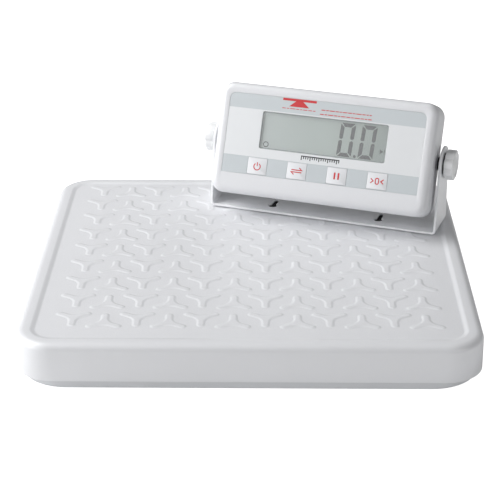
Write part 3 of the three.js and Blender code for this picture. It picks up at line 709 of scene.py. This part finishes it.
def cable_gland():
    low, high = local_box("cable_gland")
    y, rear = low.y, high.y
    bush = [(2.3, y + 0.2), (5.2, y), (7, y + 0.3), (7, y + 3.4), (5.5, y + 3.6)]
    bush += [(5.5, rear - 0.8), (5.1, rear - 0.2), (4.6, rear), (3.4, rear), (2.7, rear - 0.8)]
    bush += [(2.2, rear - 2.5), (2.2, y + 1)]
    at, black = middle_of(low, high), MAT["black"]
    piece = turned("cable_outlet_bush", WORLD, "y", at, bush, black, sides=40, ring=True)
    settle(piece, "platform", "black_plastic", "cable_gland")


# ---- bracket
BRACKET_LOW, BRACKET_HIGH = local_box("bracket", STAND)
ARM_TOP_R = 15.5
STUD_HOLE_R = 3.4
BEND_R = 3.5
BEND_STEPS = 8
SHEET_T = 2
KEYHOLE_X = 48  # each side of the bracket's middle
KEYHOLE_Y, KEYHOLE_END = 13.3, 25.3  # from the bracket's front edge
KEYHOLE_BIG, KEYHOLE_SMALL = 4.0, 2.0


def arm_outline():
    """An arm's side view from the rear lower corner, over its round top, to the front one."""
    front, rear, base = BRACKET_LOW.y, BRACKET_HIGH.y, BRACKET_LOW.z + BEND_R
    knee = BRACKET_LOW.z + 4

    def lean(edge):
        """Angle at which the line from an edge's knee touches the round top."""
        distance = math.hypot(edge, knee)
        return math.degrees(math.atan2(edge, -knee) + math.asin(ARM_TOP_R / distance))

    first = -lean(-rear)
    last = 180 + lean(front)
    points = [(rear, base), (rear, knee)]
    points += arc((0, 0), ARM_TOP_R, first, last, 24)
    return points + [(front, knee), (front, base)]


def keyhole_outline(x):
    """A round hole that takes a screw's head, with a slot toward the rear."""
    centre, end = BRACKET_LOW.y + KEYHOLE_Y, BRACKET_LOW.y + KEYHOLE_END
    meet = math.degrees(math.asin(KEYHOLE_SMALL / KEYHOLE_BIG))
    points = arc((x, centre), KEYHOLE_BIG, 90 + meet, 450 - meet, 24)
    return points + arc((x, end), KEYHOLE_SMALL, 0, 180, 10)


def bracket():
    """The bent sheet: its outer surface, with the sheet's thickness from a modifier."""
    shell = Shell()
    left, right, base = BRACKET_LOW.x, BRACKET_HIGH.x, BRACKET_LOW.z
    middle = (left + right) / 2
    for x in (left, right):
        arm = shell.loop(on_x(arm_outline(), x))
        hole = shell.loop(on_x(circle(STUD_HOLE_R, sides=32), x))
        shell.fill((1, 0, 0), arm, hole)
    front, rear = BRACKET_LOW.y, BRACKET_HIGH.y
    inner_left, inner_right = left + BEND_R, right - BEND_R
    for corner, start, turn in ((inner_left, 180, 90), (inner_right, 360, -90)):
        bend = arc((corner, base + BEND_R), BEND_R, start, start + turn, BEND_STEPS)
        rows = [shell.loop([(x, front, z), (x, rear, z)]) for x, z in bend]
        for first, second in zip(rows, rows[1:]):
            shell.face((first[0], first[1], second[1], second[0]))
    floor = [(inner_left, front), (inner_right, front), (inner_right, rear), (inner_left, rear)]
    places = (middle - KEYHOLE_X, middle + KEYHOLE_X)
    holes = [shell.loop(on_z(keyhole_outline(x), base)) for x in places]
    shell.fill((0, 0, 1), shell.loop(on_z(floor, base)), *holes)
    bmesh.ops.remove_doubles(shell.bm, verts=shell.bm.verts, dist=0.001)
    piece = shell.make("bracket_sheet", STAND, MAT["powder"])
    sheet = piece.modifiers.new("sheet", "SOLIDIFY")
    sheet.thickness = SHEET_T * MM
    sheet.offset = -1
    sheet.use_even_offset = True
    bevel(piece, 0.45, 3, 50)
    settle(piece, "stand", "white_steel", "bracket")


def bracket_pads():
    for side in ("left", "right"):
        low, high = local_box(f"bracket_pad_{side}", STAND)
        w, d, at = high.x - low.x, high.y - low.y, middle_of(low, high, "x", "y")
        rings = [(0.5, low.z), (0, low.z + 0.35), (0, high.z - 0.2), (0.2, high.z)]
        shell = Shell()
        shell.solid([on_z(rounded(w - 2 * i, d - 2 * i, 3, at), z) for i, z in rings])
        piece = shell.make(f"rubber_pad_{side}", STAND, MAT["rubber"])
        settle(piece, "stand", "rubber", f"bracket_pad_{side}")


# ---- display head
BEZEL_LOW, BEZEL_HIGH = local_box("front_bezel", HEAD)
REAR_LOW, REAR_HIGH = local_box("rear_shell", HEAD)
OVERLAY_LOW, OVERLAY_HIGH = local_box("face_overlay", HEAD)
WINDOW_LOW, WINDOW_HIGH = local_box("lcd_window", HEAD)
WINDOW_SIZE, WINDOW_MID = WINDOW_HIGH - WINDOW_LOW, middle_of(WINDOW_LOW, WINDOW_HIGH)
OVERLAY_MID = middle_of(OVERLAY_LOW, OVERLAY_HIGH)
HEAD_W = BEZEL_HIGH.x - BEZEL_LOW.x
HEAD_H = BEZEL_HIGH.z - BEZEL_LOW.z
HEAD_MID = (BEZEL_HIGH.z + BEZEL_LOW.z) / 2
FACE = BEZEL_LOW.y
HEAD_WALL = 2.5
HEAD_R = 11  # corners of the head, from the front
FACE_R = 6  # the rounding from its sides into its face
VENT_ROWS = 4
VENT_Z, VENT_PITCH = 26, 3.6  # the lowest vent over the head's middle, and their spacing
BAND_LOW, BAND_HIGH = -19.0, 21.9  # inner edges of the overlay's bands, from its middle
MARK_DEPTH = 0.04  # thickness of printed and displayed marks
MARK_RISE = 0.03  # how far their faces stand over what they are printed on


def head_ring(inset, y):
    size = (HEAD_W - 2 * inset, HEAD_H - 2 * inset)
    return on_y(rounded(*size, HEAD_R - inset, (0, HEAD_MID), 12), y)


def overlay_loop(grow):
    size = OVERLAY_HIGH - OVERLAY_LOW
    radii = (5 + grow, 5 + grow, 0.5, 0.5)
    return rounded(size.x + 2 * grow, size.z + 2 * grow, radii, OVERLAY_MID, 12)


def key_box(name):
    return local_box(f"key_{name}", HEAD)


def through(shell, loop, first, second, fronts, backs):
    """Walls a loop between two depths, and adds its edges to the two faces' boundaries."""
    front, back = shell.loft([on_y(loop, first), on_y(loop, second)])
    fronts.append(front)
    backs.append(back)


def front_bezel():
    shell = Shell()
    recess, back = FACE + 1.3, FACE + 3.6
    seam = BEZEL_HIGH.y
    profile = [(HEAD_WALL, back), (HEAD_WALL, seam), (0.35, seam), (0, seam - 0.35)]
    profile += arc((FACE_R, FACE + FACE_R), FACE_R, 180, 270, 10)
    loops = shell.loft([head_ring(inset, y) for inset, y in profile])
    lip = [on_y(overlay_loop(0.4), FACE), on_y(overlay_loop(0.18), FACE + 0.08)]
    lip += [on_y(overlay_loop(0.1), FACE + 0.25), on_y(overlay_loop(0.1), recess)]
    inner = shell.loft(lip)
    shell.bridge(loops[-1], inner[0])
    front, rear = [inner[-1]], [loops[0]]
    openings = [(WINDOW_SIZE.x - 2, WINDOW_SIZE.z - 2, WINDOW_MID)]
    openings += [(12.4, 9.6, middle_of(*key_box(name))) for name in KEYS]
    for width, height, at in openings:
        through(shell, rounded(width, height, 0.8, at, 4), recess, back, front, rear)
    shell.fill((0, -1, 0), *front)
    shell.fill((0, 1, 0), *rear)
    piece = shell.make("bezel_shell", HEAD, MAT["abs_head_shaded"])
    settle(piece, "head", "white_abs", "front_bezel")


def rear_shell():
    shell = Shell()
    start, back = REAR_LOW.y, REAR_HIGH.y
    inside = back - HEAD_WALL
    # Inset and depth, from the inner wall round the front edge and over the domed outside
    profile = [(8, inside), (5.6, inside - 2.5), (HEAD_WALL, 4), (HEAD_WALL, start), (0.35, start)]
    profile += [(0, start + 0.35), (0, 1), (0.1, 3), (0.4, 5), (0.85, 7), (1.4, 9), (2.05, 11)]
    profile += [(2.75, 13), (3.5, 15), (4.4, 16.8), (5.4, 18), (6.6, 18.7), (7.7, 18.95)]
    profile.append((8.6, back))
    loops = shell.loft([head_ring(inset, y) for inset, y in profile])
    outer, inner = [loops[-1]], [loops[0]]
    low, high = local_box("battery_door", HEAD)
    bay = rounded((high - low).x + 0.6, (high - low).z + 0.6, 1.6, middle_of(low, high), 6)
    through(shell, bay, back, inside, outer, inner)
    for node, radius in (("signal_socket", 8.3), ("power_jack", 5.3)):
        hole = circle(radius, middle_of(*local_box(node, HEAD)), 40)
        through(shell, hole, back, inside, outer, inner)
    for index in NUMBERS:
        at = middle_of(*local_box(f"case_screw_{index}", HEAD))
        sink = ((4.1, back), (3.6, back - 0.5), (3.6, back - 4.6))
        well = shell.loft([on_y(circle(r, at, 28), y) for r, y in sink])
        outer.append(well[0])
        shell.face(well[-1])
    for row in range(VENT_ROWS):
        slot = rounded(34, 1.8, 0.85, (0, HEAD_MID + VENT_Z + VENT_PITCH * row), 5)
        through(shell, slot, back, inside, outer, inner)
    shell.fill((0, 1, 0), *outer)
    shell.fill((0, -1, 0), *inner)
    piece = shell.make("rear_case", HEAD, MAT["abs_head_shaded"])
    settle(piece, "head", "white_abs", "rear_shell")


def flat(name, shapes, front, back, material):
    """Flat bodies of the head between two depths. A shape is an outline, or one and its holes."""
    shell = Shell()
    for shape in shapes:
        loops = [shape] if isinstance(shape[0][0], (int, float)) else shape
        fronts, backs = [], []
        for loop in loops:
            through(shell, loop, front, back, fronts, backs)
        shell.fill((0, -1, 0), *fronts)
        shell.fill((0, 1, 0), *backs)
    return shell.make(name, HEAD, material)


def face_overlay():
    loops = [overlay_loop(0), rounded(WINDOW_SIZE.x, WINDOW_SIZE.z, 1.6, WINDOW_MID, 6)]
    for name in KEYS:
        low, high = key_box(name)
        width, height = high.x - low.x + 0.3, high.z - low.z + 0.3
        loops.append(rounded(width, height, 0.7, middle_of(low, high), 4))
    bands = [OVERLAY_MID[1] + edge for edge in (BAND_LOW, BAND_HIGH)]
    material = overlay_print("overlay_print", bands)
    piece = flat("overlay_film", [loops], OVERLAY_LOW.y, OVERLAY_HIGH.y, material)
    settle(piece, "head", "overlay_film", "face_overlay")


def ribbon(path, width):
    """A stroke of even width along a path, as an outline."""
    left, right = [], []
    for i, point in enumerate(path):
        before = path[max(i - 1, 0)]
        after = path[min(i + 1, len(path) - 1)]
        a = Vector((point[0] - before[0], point[1] - before[1]))
        b = Vector((after[0] - point[0], after[1] - point[1]))
        a = a.normalized() if a.length else b.normalized()
        b = b.normalized() if b.length else a
        along = (a + b).normalized()
        reach = width / 2 / max(0.3, along.dot(b))
        left.append((point[0] - along.y * reach, point[1] + along.x * reach))
        right.append((point[0] + along.y * reach, point[1] - along.x * reach))
    return left + right[::-1]


def marks(name, shapes, front, material):
    """Printed or displayed marks."""
    return flat(name, shapes, front, front + MARK_DEPTH, material)


# The display's seven-segment digits
DIGIT_W = 13.0
DIGIT_H = 28.4
STROKE = 3.3
LEAN = math.tan(math.radians(3))


def zero_outlines(x, z):
    """The six lit segments of a 0 whose lower left corner is at x, z."""
    g = 0.4
    s = STROKE
    w, h = DIGIT_W, DIGIT_H / 2
    bar = [(g + 0.5, 0), (w - g - 0.5, 0), (w - s - g, s), (s + g, s)]
    side = [(0, g + 0.5), (s, s + g), (s, h - g - 1.2), (s - 0.9, h - g - 0.2)]
    side += [(0.9, h - g - 0.2), (0, h - g - 1.2)]
    shapes = []
    for low in (bar, side, [(w - a, b) for a, b in side]):
        shapes += [low, [(a, DIGIT_H - b) for a, b in low]]
    return [[(x + a + LEAN * (b - h), z + b) for a, b in shape] for shape in shapes]


def lcd():
    size, at = WINDOW_SIZE, WINDOW_MID
    glass_y = FACE + 2.2
    pane = [rounded(size.x - 0.3, size.z - 0.3, 1.5, at, 6)]
    window = flat("lcd_window_pane", pane, WINDOW_LOW.y + 0.05, WINDOW_HIGH.y, MAT["window"])
    settle(window, "head", "lcd_clear", "lcd_window")
    # The window's ledge, lined with a dark grey frame: partly the ledge itself and partly painted
    # shade, drawing the shadow line round the display
    rim = [rounded(size.x + 1.2, size.z + 1.2, 1.2, at, 5)]
    rim.append(rounded(size.x - 2.2, size.z - 2.2, 0.8, at, 5))
    shaded_ledge = flat("lcd_shaded_ledge", [rim], WINDOW_HIGH.y + 0.05, FACE + 1.26, MAT["mask"])
    settle(shaded_ledge, "head", "black_plastic")
    module_back = local_box("lcd_module", HEAD)[1].y
    # How far the module reaches past the window's opening, and its depth
    rings = [(-2.3, glass_y), (-2.3, FACE + 3.9), (7, FACE + 4.1), (8, FACE + 4.8)]
    rings.append((8, module_back))
    shell = Shell()
    shell.solid([on_y(rounded(size.x + grow, size.z + grow, 0.8, at, 4), y) for grow, y in rings])
    panel = shell.make("lcd_panel", HEAD, lcd_reflector_with_painted_glare("lcd_reflector_with_painted_glare", size.x / 2))
    settle(panel, "head", "lcd_glass", "lcd_module")
    left, low = WINDOW_LOW.x, WINDOW_LOW.z
    shapes = zero_outlines(left + 69.2, low + 1.6) + zero_outlines(left + 88.0, low + 1.6)
    shapes.append(circle(1.2, (left + 84.6, low + 2.8), 20))
    shapes.append([circle(r, (left + 5.5, low + 4.2), 28) for r in (2.45, 1.75)])
    x, z = left + 105.9, low + 9.4
    shapes.append([(x, z - 2.1), (x + 3.1, z), (x, z + 2.1)])
    shapes.append(ribbon([(x + 4.1, z - 2.1), (x + 4.1, z + 2.1)], 0.8))
    digits = marks("lcd_digits", shapes, glass_y - 0.06, MAT["segment"])
    settle(digits, "head", "lcd_glass")


def key_icon(name, x, z):
    """Plain symbols in place of the keys' wording: standby, change over, pause, and zero."""
    w = 0.85
    if name == "power":
        bow = arc((x, z - 0.3), 2.9, 125, 415, 22)
        return [ribbon(bow, w), ribbon([(x, z + 0.2), (x, z + 3.4)], w)]
    if name == "unit":
        upper = [(x - 4.6, z + 0.9), (x + 4.6, z + 0.9), (x + 2.2, z + 3.1)]
        lower = [(x + 4.6, z - 0.9), (x - 4.6, z - 0.9), (x - 2.2, z - 3.1)]
        return [ribbon(upper, w), ribbon(lower, w)]
    if name == "hold":
        return [ribbon([(x + side, z - 2.9), (x + side, z + 2.9)], 1.5) for side in (-1.7, 1.7)]
    shapes = [[rounded(3.6, 5.8, 1.75, (x, z), 6), rounded(1.9, 4.1, 0.9, (x, z), 6)]]
    for side in (-1, 1):
        tail, tip = x + side * 5.6, x + side * 3.3
        shapes.append(ribbon([(tail, z + 1.9), (tip, z), (tail, z - 1.9)], w))
    return shapes


def keys():
    for name in KEYS:
        low, high = key_box(name)
        at = middle_of(low, high)
        w, h = high.x - low.x - 0.1, high.z - low.z - 0.1
        shell, y = Shell(), low.y
        rings = [(w - 0.5, h - 0.5, y), (w - 0.15, h - 0.15, y + 0.08), (w, h, y + 0.25)]
        rings += [(w, h, y + 0.7), (11.8, 9, y + 0.72), (11.8, 9, high.y)]
        shell.solid([on_y(rounded(a, b, 0.6, at, 4), y) for a, b, y in rings])
        cap = shell.make(f"key_cap_{name}", HEAD, MAT["key"], sharp=60)
        settle(cap, f"{name}_key", "key_film", f"key_{name}")
        front = low.y - MARK_RISE
        icon = marks(f"key_icon_{name}", key_icon(name, *at), front, MAT["red"])
        settle(icon, f"{name}_key", "key_film")


DASHES = (3.4, 2.2, 4.6, 2.8, 1.8, 3.8)
DASH_GAP = 0.8


def dashes(x, z, length, thickness):
    """A row of unequal dashes, in place of a line of small print."""
    row, at = [], x
    while at < x + length:
        end = min(at + DASHES[len(row) % len(DASHES)], x + length)
        row.append(ribbon([(at, z), (end, z)], thickness))
        at = end + DASH_GAP
    return row


def printed_marks():
    """A plain scale-pan symbol, rows of dashes and a graduated rule, in place of the printing."""
    left, top = WINDOW_LOW.x, WINDOW_HIGH.z
    front = OVERLAY_LOW.y - MARK_RISE
    x, z = left + 31.5, top + 9.6
    pan = [ribbon([(x - 15, z + 2.6), (x + 15, z + 2.6)], 2.0)]
    pan.append([(x - 9, z - 3.2), (x + 9, z - 3.2), (x + 3, z + 1.8), (x - 3, z + 1.8)])
    small_print = dashes(x - 15, z - 5.0, 30, 0.6)
    small_print += dashes(left + 51.5, top + 6.3, 44, 0.75)
    small_print += dashes(left + 50.5, top + 2.7, 45.5, 0.75)
    printing = marks("overlay_red_marks", pan + small_print, front, MAT["red"])
    settle(printing, "head", "overlay_film")
    bottom = WINDOW_LOW.z - 2.2
    middle = WINDOW_MID[0]
    ticks = [ribbon([(middle - 17, bottom), (middle + 17, bottom)], 0.9)]
    for i in range(18):
        drop = 2.8 if i % 4 == 0 else 1.8
        tick_x = middle - 16.6 + 1.95 * i
        ticks.append(ribbon([(tick_x, bottom - 0.5), (tick_x, bottom - 0.5 - drop)], 0.8))
    rule = marks("overlay_graduation", ticks, front, MAT["dark"])
    settle(rule, "head", "overlay_film")


def battery_door():
    low, high = local_box("battery_door", HEAD)
    at = middle_of(low, high)
    w, h = high.x - low.x, high.z - low.z
    profile = ((0.2, low.y), (0, low.y + 0.25), (0, high.y - 0.35), (0.35, high.y))
    shell = Shell()
    loops = shell.loft([on_y(rounded(w - 2 * i, h - 2 * i, 1.4, at, 6), y) for i, y in profile])
    shell.face(loops[0])
    holes = []
    for i in range(4):
        spot = (at[0], high.z - 4.6 - 1.9 * i)
        steps = ((24, 1.1, high.y), (22, 0.5, high.y - 0.7))
        groove = shell.loft([on_y(rounded(*size, 0.2, spot, 3), y) for *size, y in steps])
        shell.face(groove[-1])
        holes.append(groove[0])
    shell.fill((0, 1, 0), loops[-1], *holes)
    piece = shell.make("battery_lid", HEAD, MAT["abs_head_shaded"])
    settle(piece, "battery_cover", "white_abs", "battery_door")


def batteries():
    for index in NUMBERS:
        low, high = local_box(f"battery_{index}", HEAD)
        r = (high.y - low.y) / 2
        # The nub is at the outer end
        start, step = (low.x, 1) if low.x > 0 else (high.x, -1)
        length = high.x - low.x
        can = [(r - 0.9, 0), (r - 0.3, 0.15), (r, 0.7), (r, length - 2.2), (r - 0.4, length - 1.6)]
        can += [(r - 1.2, length - 1.25), (2.75, length - 1.2), (2.7, length - 0.3), (2.3, length)]
        can = [(radius, start + step * p) for radius, p in can]
        at = middle_of(low, high, "y", "z")
        piece = turned(f"cell_{index}", HEAD, "x", at, can, MAT["cell"], sides=40)
        settle(piece, "head", "battery_jacket", f"battery_{index}")


SIGNAL_PINS = [(2.6, 2.6, 0.7), (-2.6, 2.6, 0.7), (-2.6, -2.6, 0.7), (2.6, -2.6, 0.7)]
POWER_PINS = [(0, 0, 0.9)]


def panel_socket(node, name, flange, body, bore, pins):
    """A round socket through the rear shell. pins is [(across, up, radius)] from its middle."""
    low, high = local_box(node, HEAD)
    at = middle_of(low, high)
    back = REAR_HIGH.y
    depth = back - low.y - 5
    profile = [(body - 0.4, low.y), (body, low.y + 0.4), (body, back + 0.3), (flange, back + 0.3)]
    profile += [(flange, back + 0.9), (flange - 0.5, high.y), (bore + 0.6, high.y)]
    profile += [(bore, high.y - 0.5), (bore, back - depth)]
    piece = turned(name, HEAD, "y", at, profile, MAT["black"])
    settle(piece, "head", "black_plastic", node)
    for i, (dx, dz, radius) in enumerate(pins):
        spot = (at[0] + dx, at[1] + dz)
        tip = [(radius, back - depth - 0.2), (radius, back - 2.6), (radius * 0.6, back - 2.1)]
        pin = turned(f"{name}_pin_{i + 1}", HEAD, "y", spot, tip, MAT["brass"], sides=20)
        settle(pin, "head", "brass")


# ---- clamping knobs
LOBES = 8
KNOB_SIDES = 128
RING_BORE = 3.3  # of the washers and spacers, round the studs


def lobed(radius, depth):
    """A circle with broad lobes and narrow notches, a lobe straight up."""
    points = []
    for i in range(KNOB_SIDES):
        c, s = unit(360 * i / KNOB_SIDES)
        wave = abs(math.sin(LOBES * math.pi * i / KNOB_SIDES + math.pi / 2))
        reach = radius + depth * (2 * wave - 1)
        points.append((reach * c, reach * s))
    return points


def knobs():
    for side, sign in (("left", -1), ("right", 1)):
        low, high = local_box(f"knob_{side}", HEAD)
        inner, outer = (low.x, high.x) if sign > 0 else (high.x, low.x)
        t = abs(outer - inner)
        # Radius, depth of the lobes, and how far out from the knob's inner face
        profile = [(11.2, 0.7, 0.0), (11.9, 0.7, 0.25), (12.2, 0.7, 0.9), (12.2, 0.7, t - 1.1)]
        profile += [(12.1, 0.7, t - 0.6), (11.8, 0.65, t - 0.2), (11.3, 0.55, t), (9.0, 0.0, t)]
        profile += [(8.4, 0.0, t - 0.2), (8.0, 0.0, t - 0.7), (3.4, 0.0, t - 0.8)]
        profile += [(3.0, 0.0, t - 0.6), (2.6, 0.0, t - 0.35)]
        shell = Shell()
        shell.solid([on_x(lobed(r, d), inner + sign * p) for r, d, p in profile])
        piece = shell.make(f"star_knob_{side}", HEAD, MAT["knob"])
        settle(piece, f"{side}_knob", "knob_plastic", f"knob_{side}")
        rings = (("washer", f"{side}_washer", "seal"), ("spacer", "head", "black"))
        for kind, body, finish in rings:
            node = f"{kind}_{side}"
            low, high = local_box(node, HEAD)
            r, start, end = (high.z - low.z) / 2, low.x, high.x
            ring = [(RING_BORE, start), (r - 0.25, start), (r, start + 0.25)]
            ring += [(r, end - 0.25), (r - 0.25, end), (RING_BORE, end)]
            name = f"{kind}_ring_{side}"
            piece = turned(name, HEAD, "x", (0, 0), ring, MAT[finish], sides=56, ring=True)
            settle(piece, body, "black_plastic", node)


# ---- carried-over CAD nodes
def dress_cad_nodes():
    """Inner pieces keep their CAD shape and get a finished material."""
    steel = ("stiffener_plate", "load_cell", "tray_screw", "case_screw", "stud")
    finish = dict.fromkeys(steel, "steel")
    finish.update(insert="brass", cell_holder="inner", battery_tray="black")
    finish.update(junction_board="board", main_board="board")
    for name, node in frame["nodes"].items():
        key = next((k for k in finish if name.startswith(k)), None)
        if key:
            node.data.materials.clear()
            node.data.materials.append(MAT[finish[key]])


# ---- stage, lights and camera
FLOOR_REACH = 6000
FLOOR_GLOW = 0.09  # strengths that light the object
WORLD_LIGHT = 0.165
FLOOR_SEEN = 1.0  # strengths that only the camera sees
WORLD_SEEN = 1.1


def camera_only(tree, otherwise, seen):
    """A strength with one value to the camera and another to every other ray."""
    paths = tree.nodes.new("ShaderNodeLightPath")
    level = tree.nodes.new("ShaderNodeMapRange")
    level.inputs["To Min"].default_value = otherwise
    level.inputs["To Max"].default_value = seen
    tree.links.new(paths.outputs["Is Camera Ray"], level.inputs["Value"])
    return level.outputs["Result"]


def stage():
    n = Nodes("pale_floor")
    tones = [(0.3, (0.8, 0.8, 0.8, 1)), (0.7, (0.82, 0.82, 0.82, 1))]
    n.into("Base Color", n.ramp(n.noise(2, 2), tones))
    n.set(Roughness=0.7, Emission_Color=(1, 1, 1, 1))
    n.into("Emission Strength", camera_only(n.tree, FLOOR_GLOW, FLOOR_SEEN))
    shell = Shell()
    corners = ((-1, -1), (1, -1), (1, 1), (-1, 1))
    shell.face(shell.loop([(x * FLOOR_REACH, y * FLOOR_REACH, 0) for x, y in corners]))
    floor = shell.make("studio_floor", WORLD, n.material)
    world = bpy.data.worlds.new("studio")
    bpy.context.scene.world = world
    world.use_nodes = True
    tree = world.node_tree
    background = tree.nodes["Background"]
    background.inputs["Color"].default_value = (1, 1, 1, 1)
    tree.links.new(camera_only(tree, WORLD_LIGHT, WORLD_SEEN), background.inputs["Strength"])


# Where each stands, its size and its power
SOFTBOXES = {
    "left": ((-1.5, -0.1, 0.8), (1.2, 0.9), 12),
    "left_high": ((-1.2, 0.3, 1.4), (1.2, 1.2), 23.5),
    "left_low": ((-1.8, -0.9, 0.5), (1.0, 0.7), 9),
    "front_right": ((1.6, -1.6, 0.8), (1.4, 1.0), 9.8),
}
LIT_POINT = (0, 0.02, 0.04)


def lights():
    for name, (at, size, power) in SOFTBOXES.items():
        data = bpy.data.lights.new(name, "AREA")
        data.shape = "RECTANGLE"
        data.size, data.size_y = size
        data.energy = power
        light = bpy.data.objects.new(name, data)
        bpy.context.scene.collection.objects.link(light)
        light.location = at
        aim = Vector(LIT_POINT) - Vector(at)
        light.rotation_euler = aim.to_track_quat("-Z", "Y").to_euler()


CAMERA_AT = (13.8, -1196.6, 572.0)  # in millimetres, with the angles in degrees
CAMERA_YAW = -0.71
CAMERA_PITCH = 23.91
CAMERA_ROLL = -0.06
CAMERA_LENS = 114.3


def camera():
    data = bpy.data.cameras.new("camera")
    data.lens = CAMERA_LENS
    data.sensor_width = 36
    data.clip_start = 0.05
    data.clip_end = 50
    eye = bpy.data.objects.new("camera", data)
    bpy.context.scene.collection.objects.link(eye)
    eye.location = Vector(CAMERA_AT) * MM
    turn = Matrix.Rotation(math.radians(-CAMERA_YAW), 4, "Z")
    nod = Matrix.Rotation(math.radians(90 - CAMERA_PITCH), 4, "X")
    roll = Matrix.Rotation(math.radians(CAMERA_ROLL), 4, "Z")
    eye.rotation_euler = (turn @ nod @ roll).to_euler()
    bpy.context.scene.camera = eye


camera()
lights()
stage()
platform_cover()
base_tray()
feet()
screw_heads("tray_screw", WORLD, "z", -1, "platform")
cable_gland()
bracket()
bracket_pads()
front_bezel()
rear_shell()
face_overlay()
lcd()
keys()
printed_marks()
battery_door()
batteries()
panel_socket("signal_socket", "signal_inlet", 10, 8, 6.3, SIGNAL_PINS)
panel_socket("power_jack", "power_inlet", 6.5, 5, 2.9, POWER_PINS)
screw_heads("case_screw", HEAD, "y", 1, "head")
knobs()
dress_cad_nodes()
bpy.context.scene.view_settings.view_transform = "Standard"
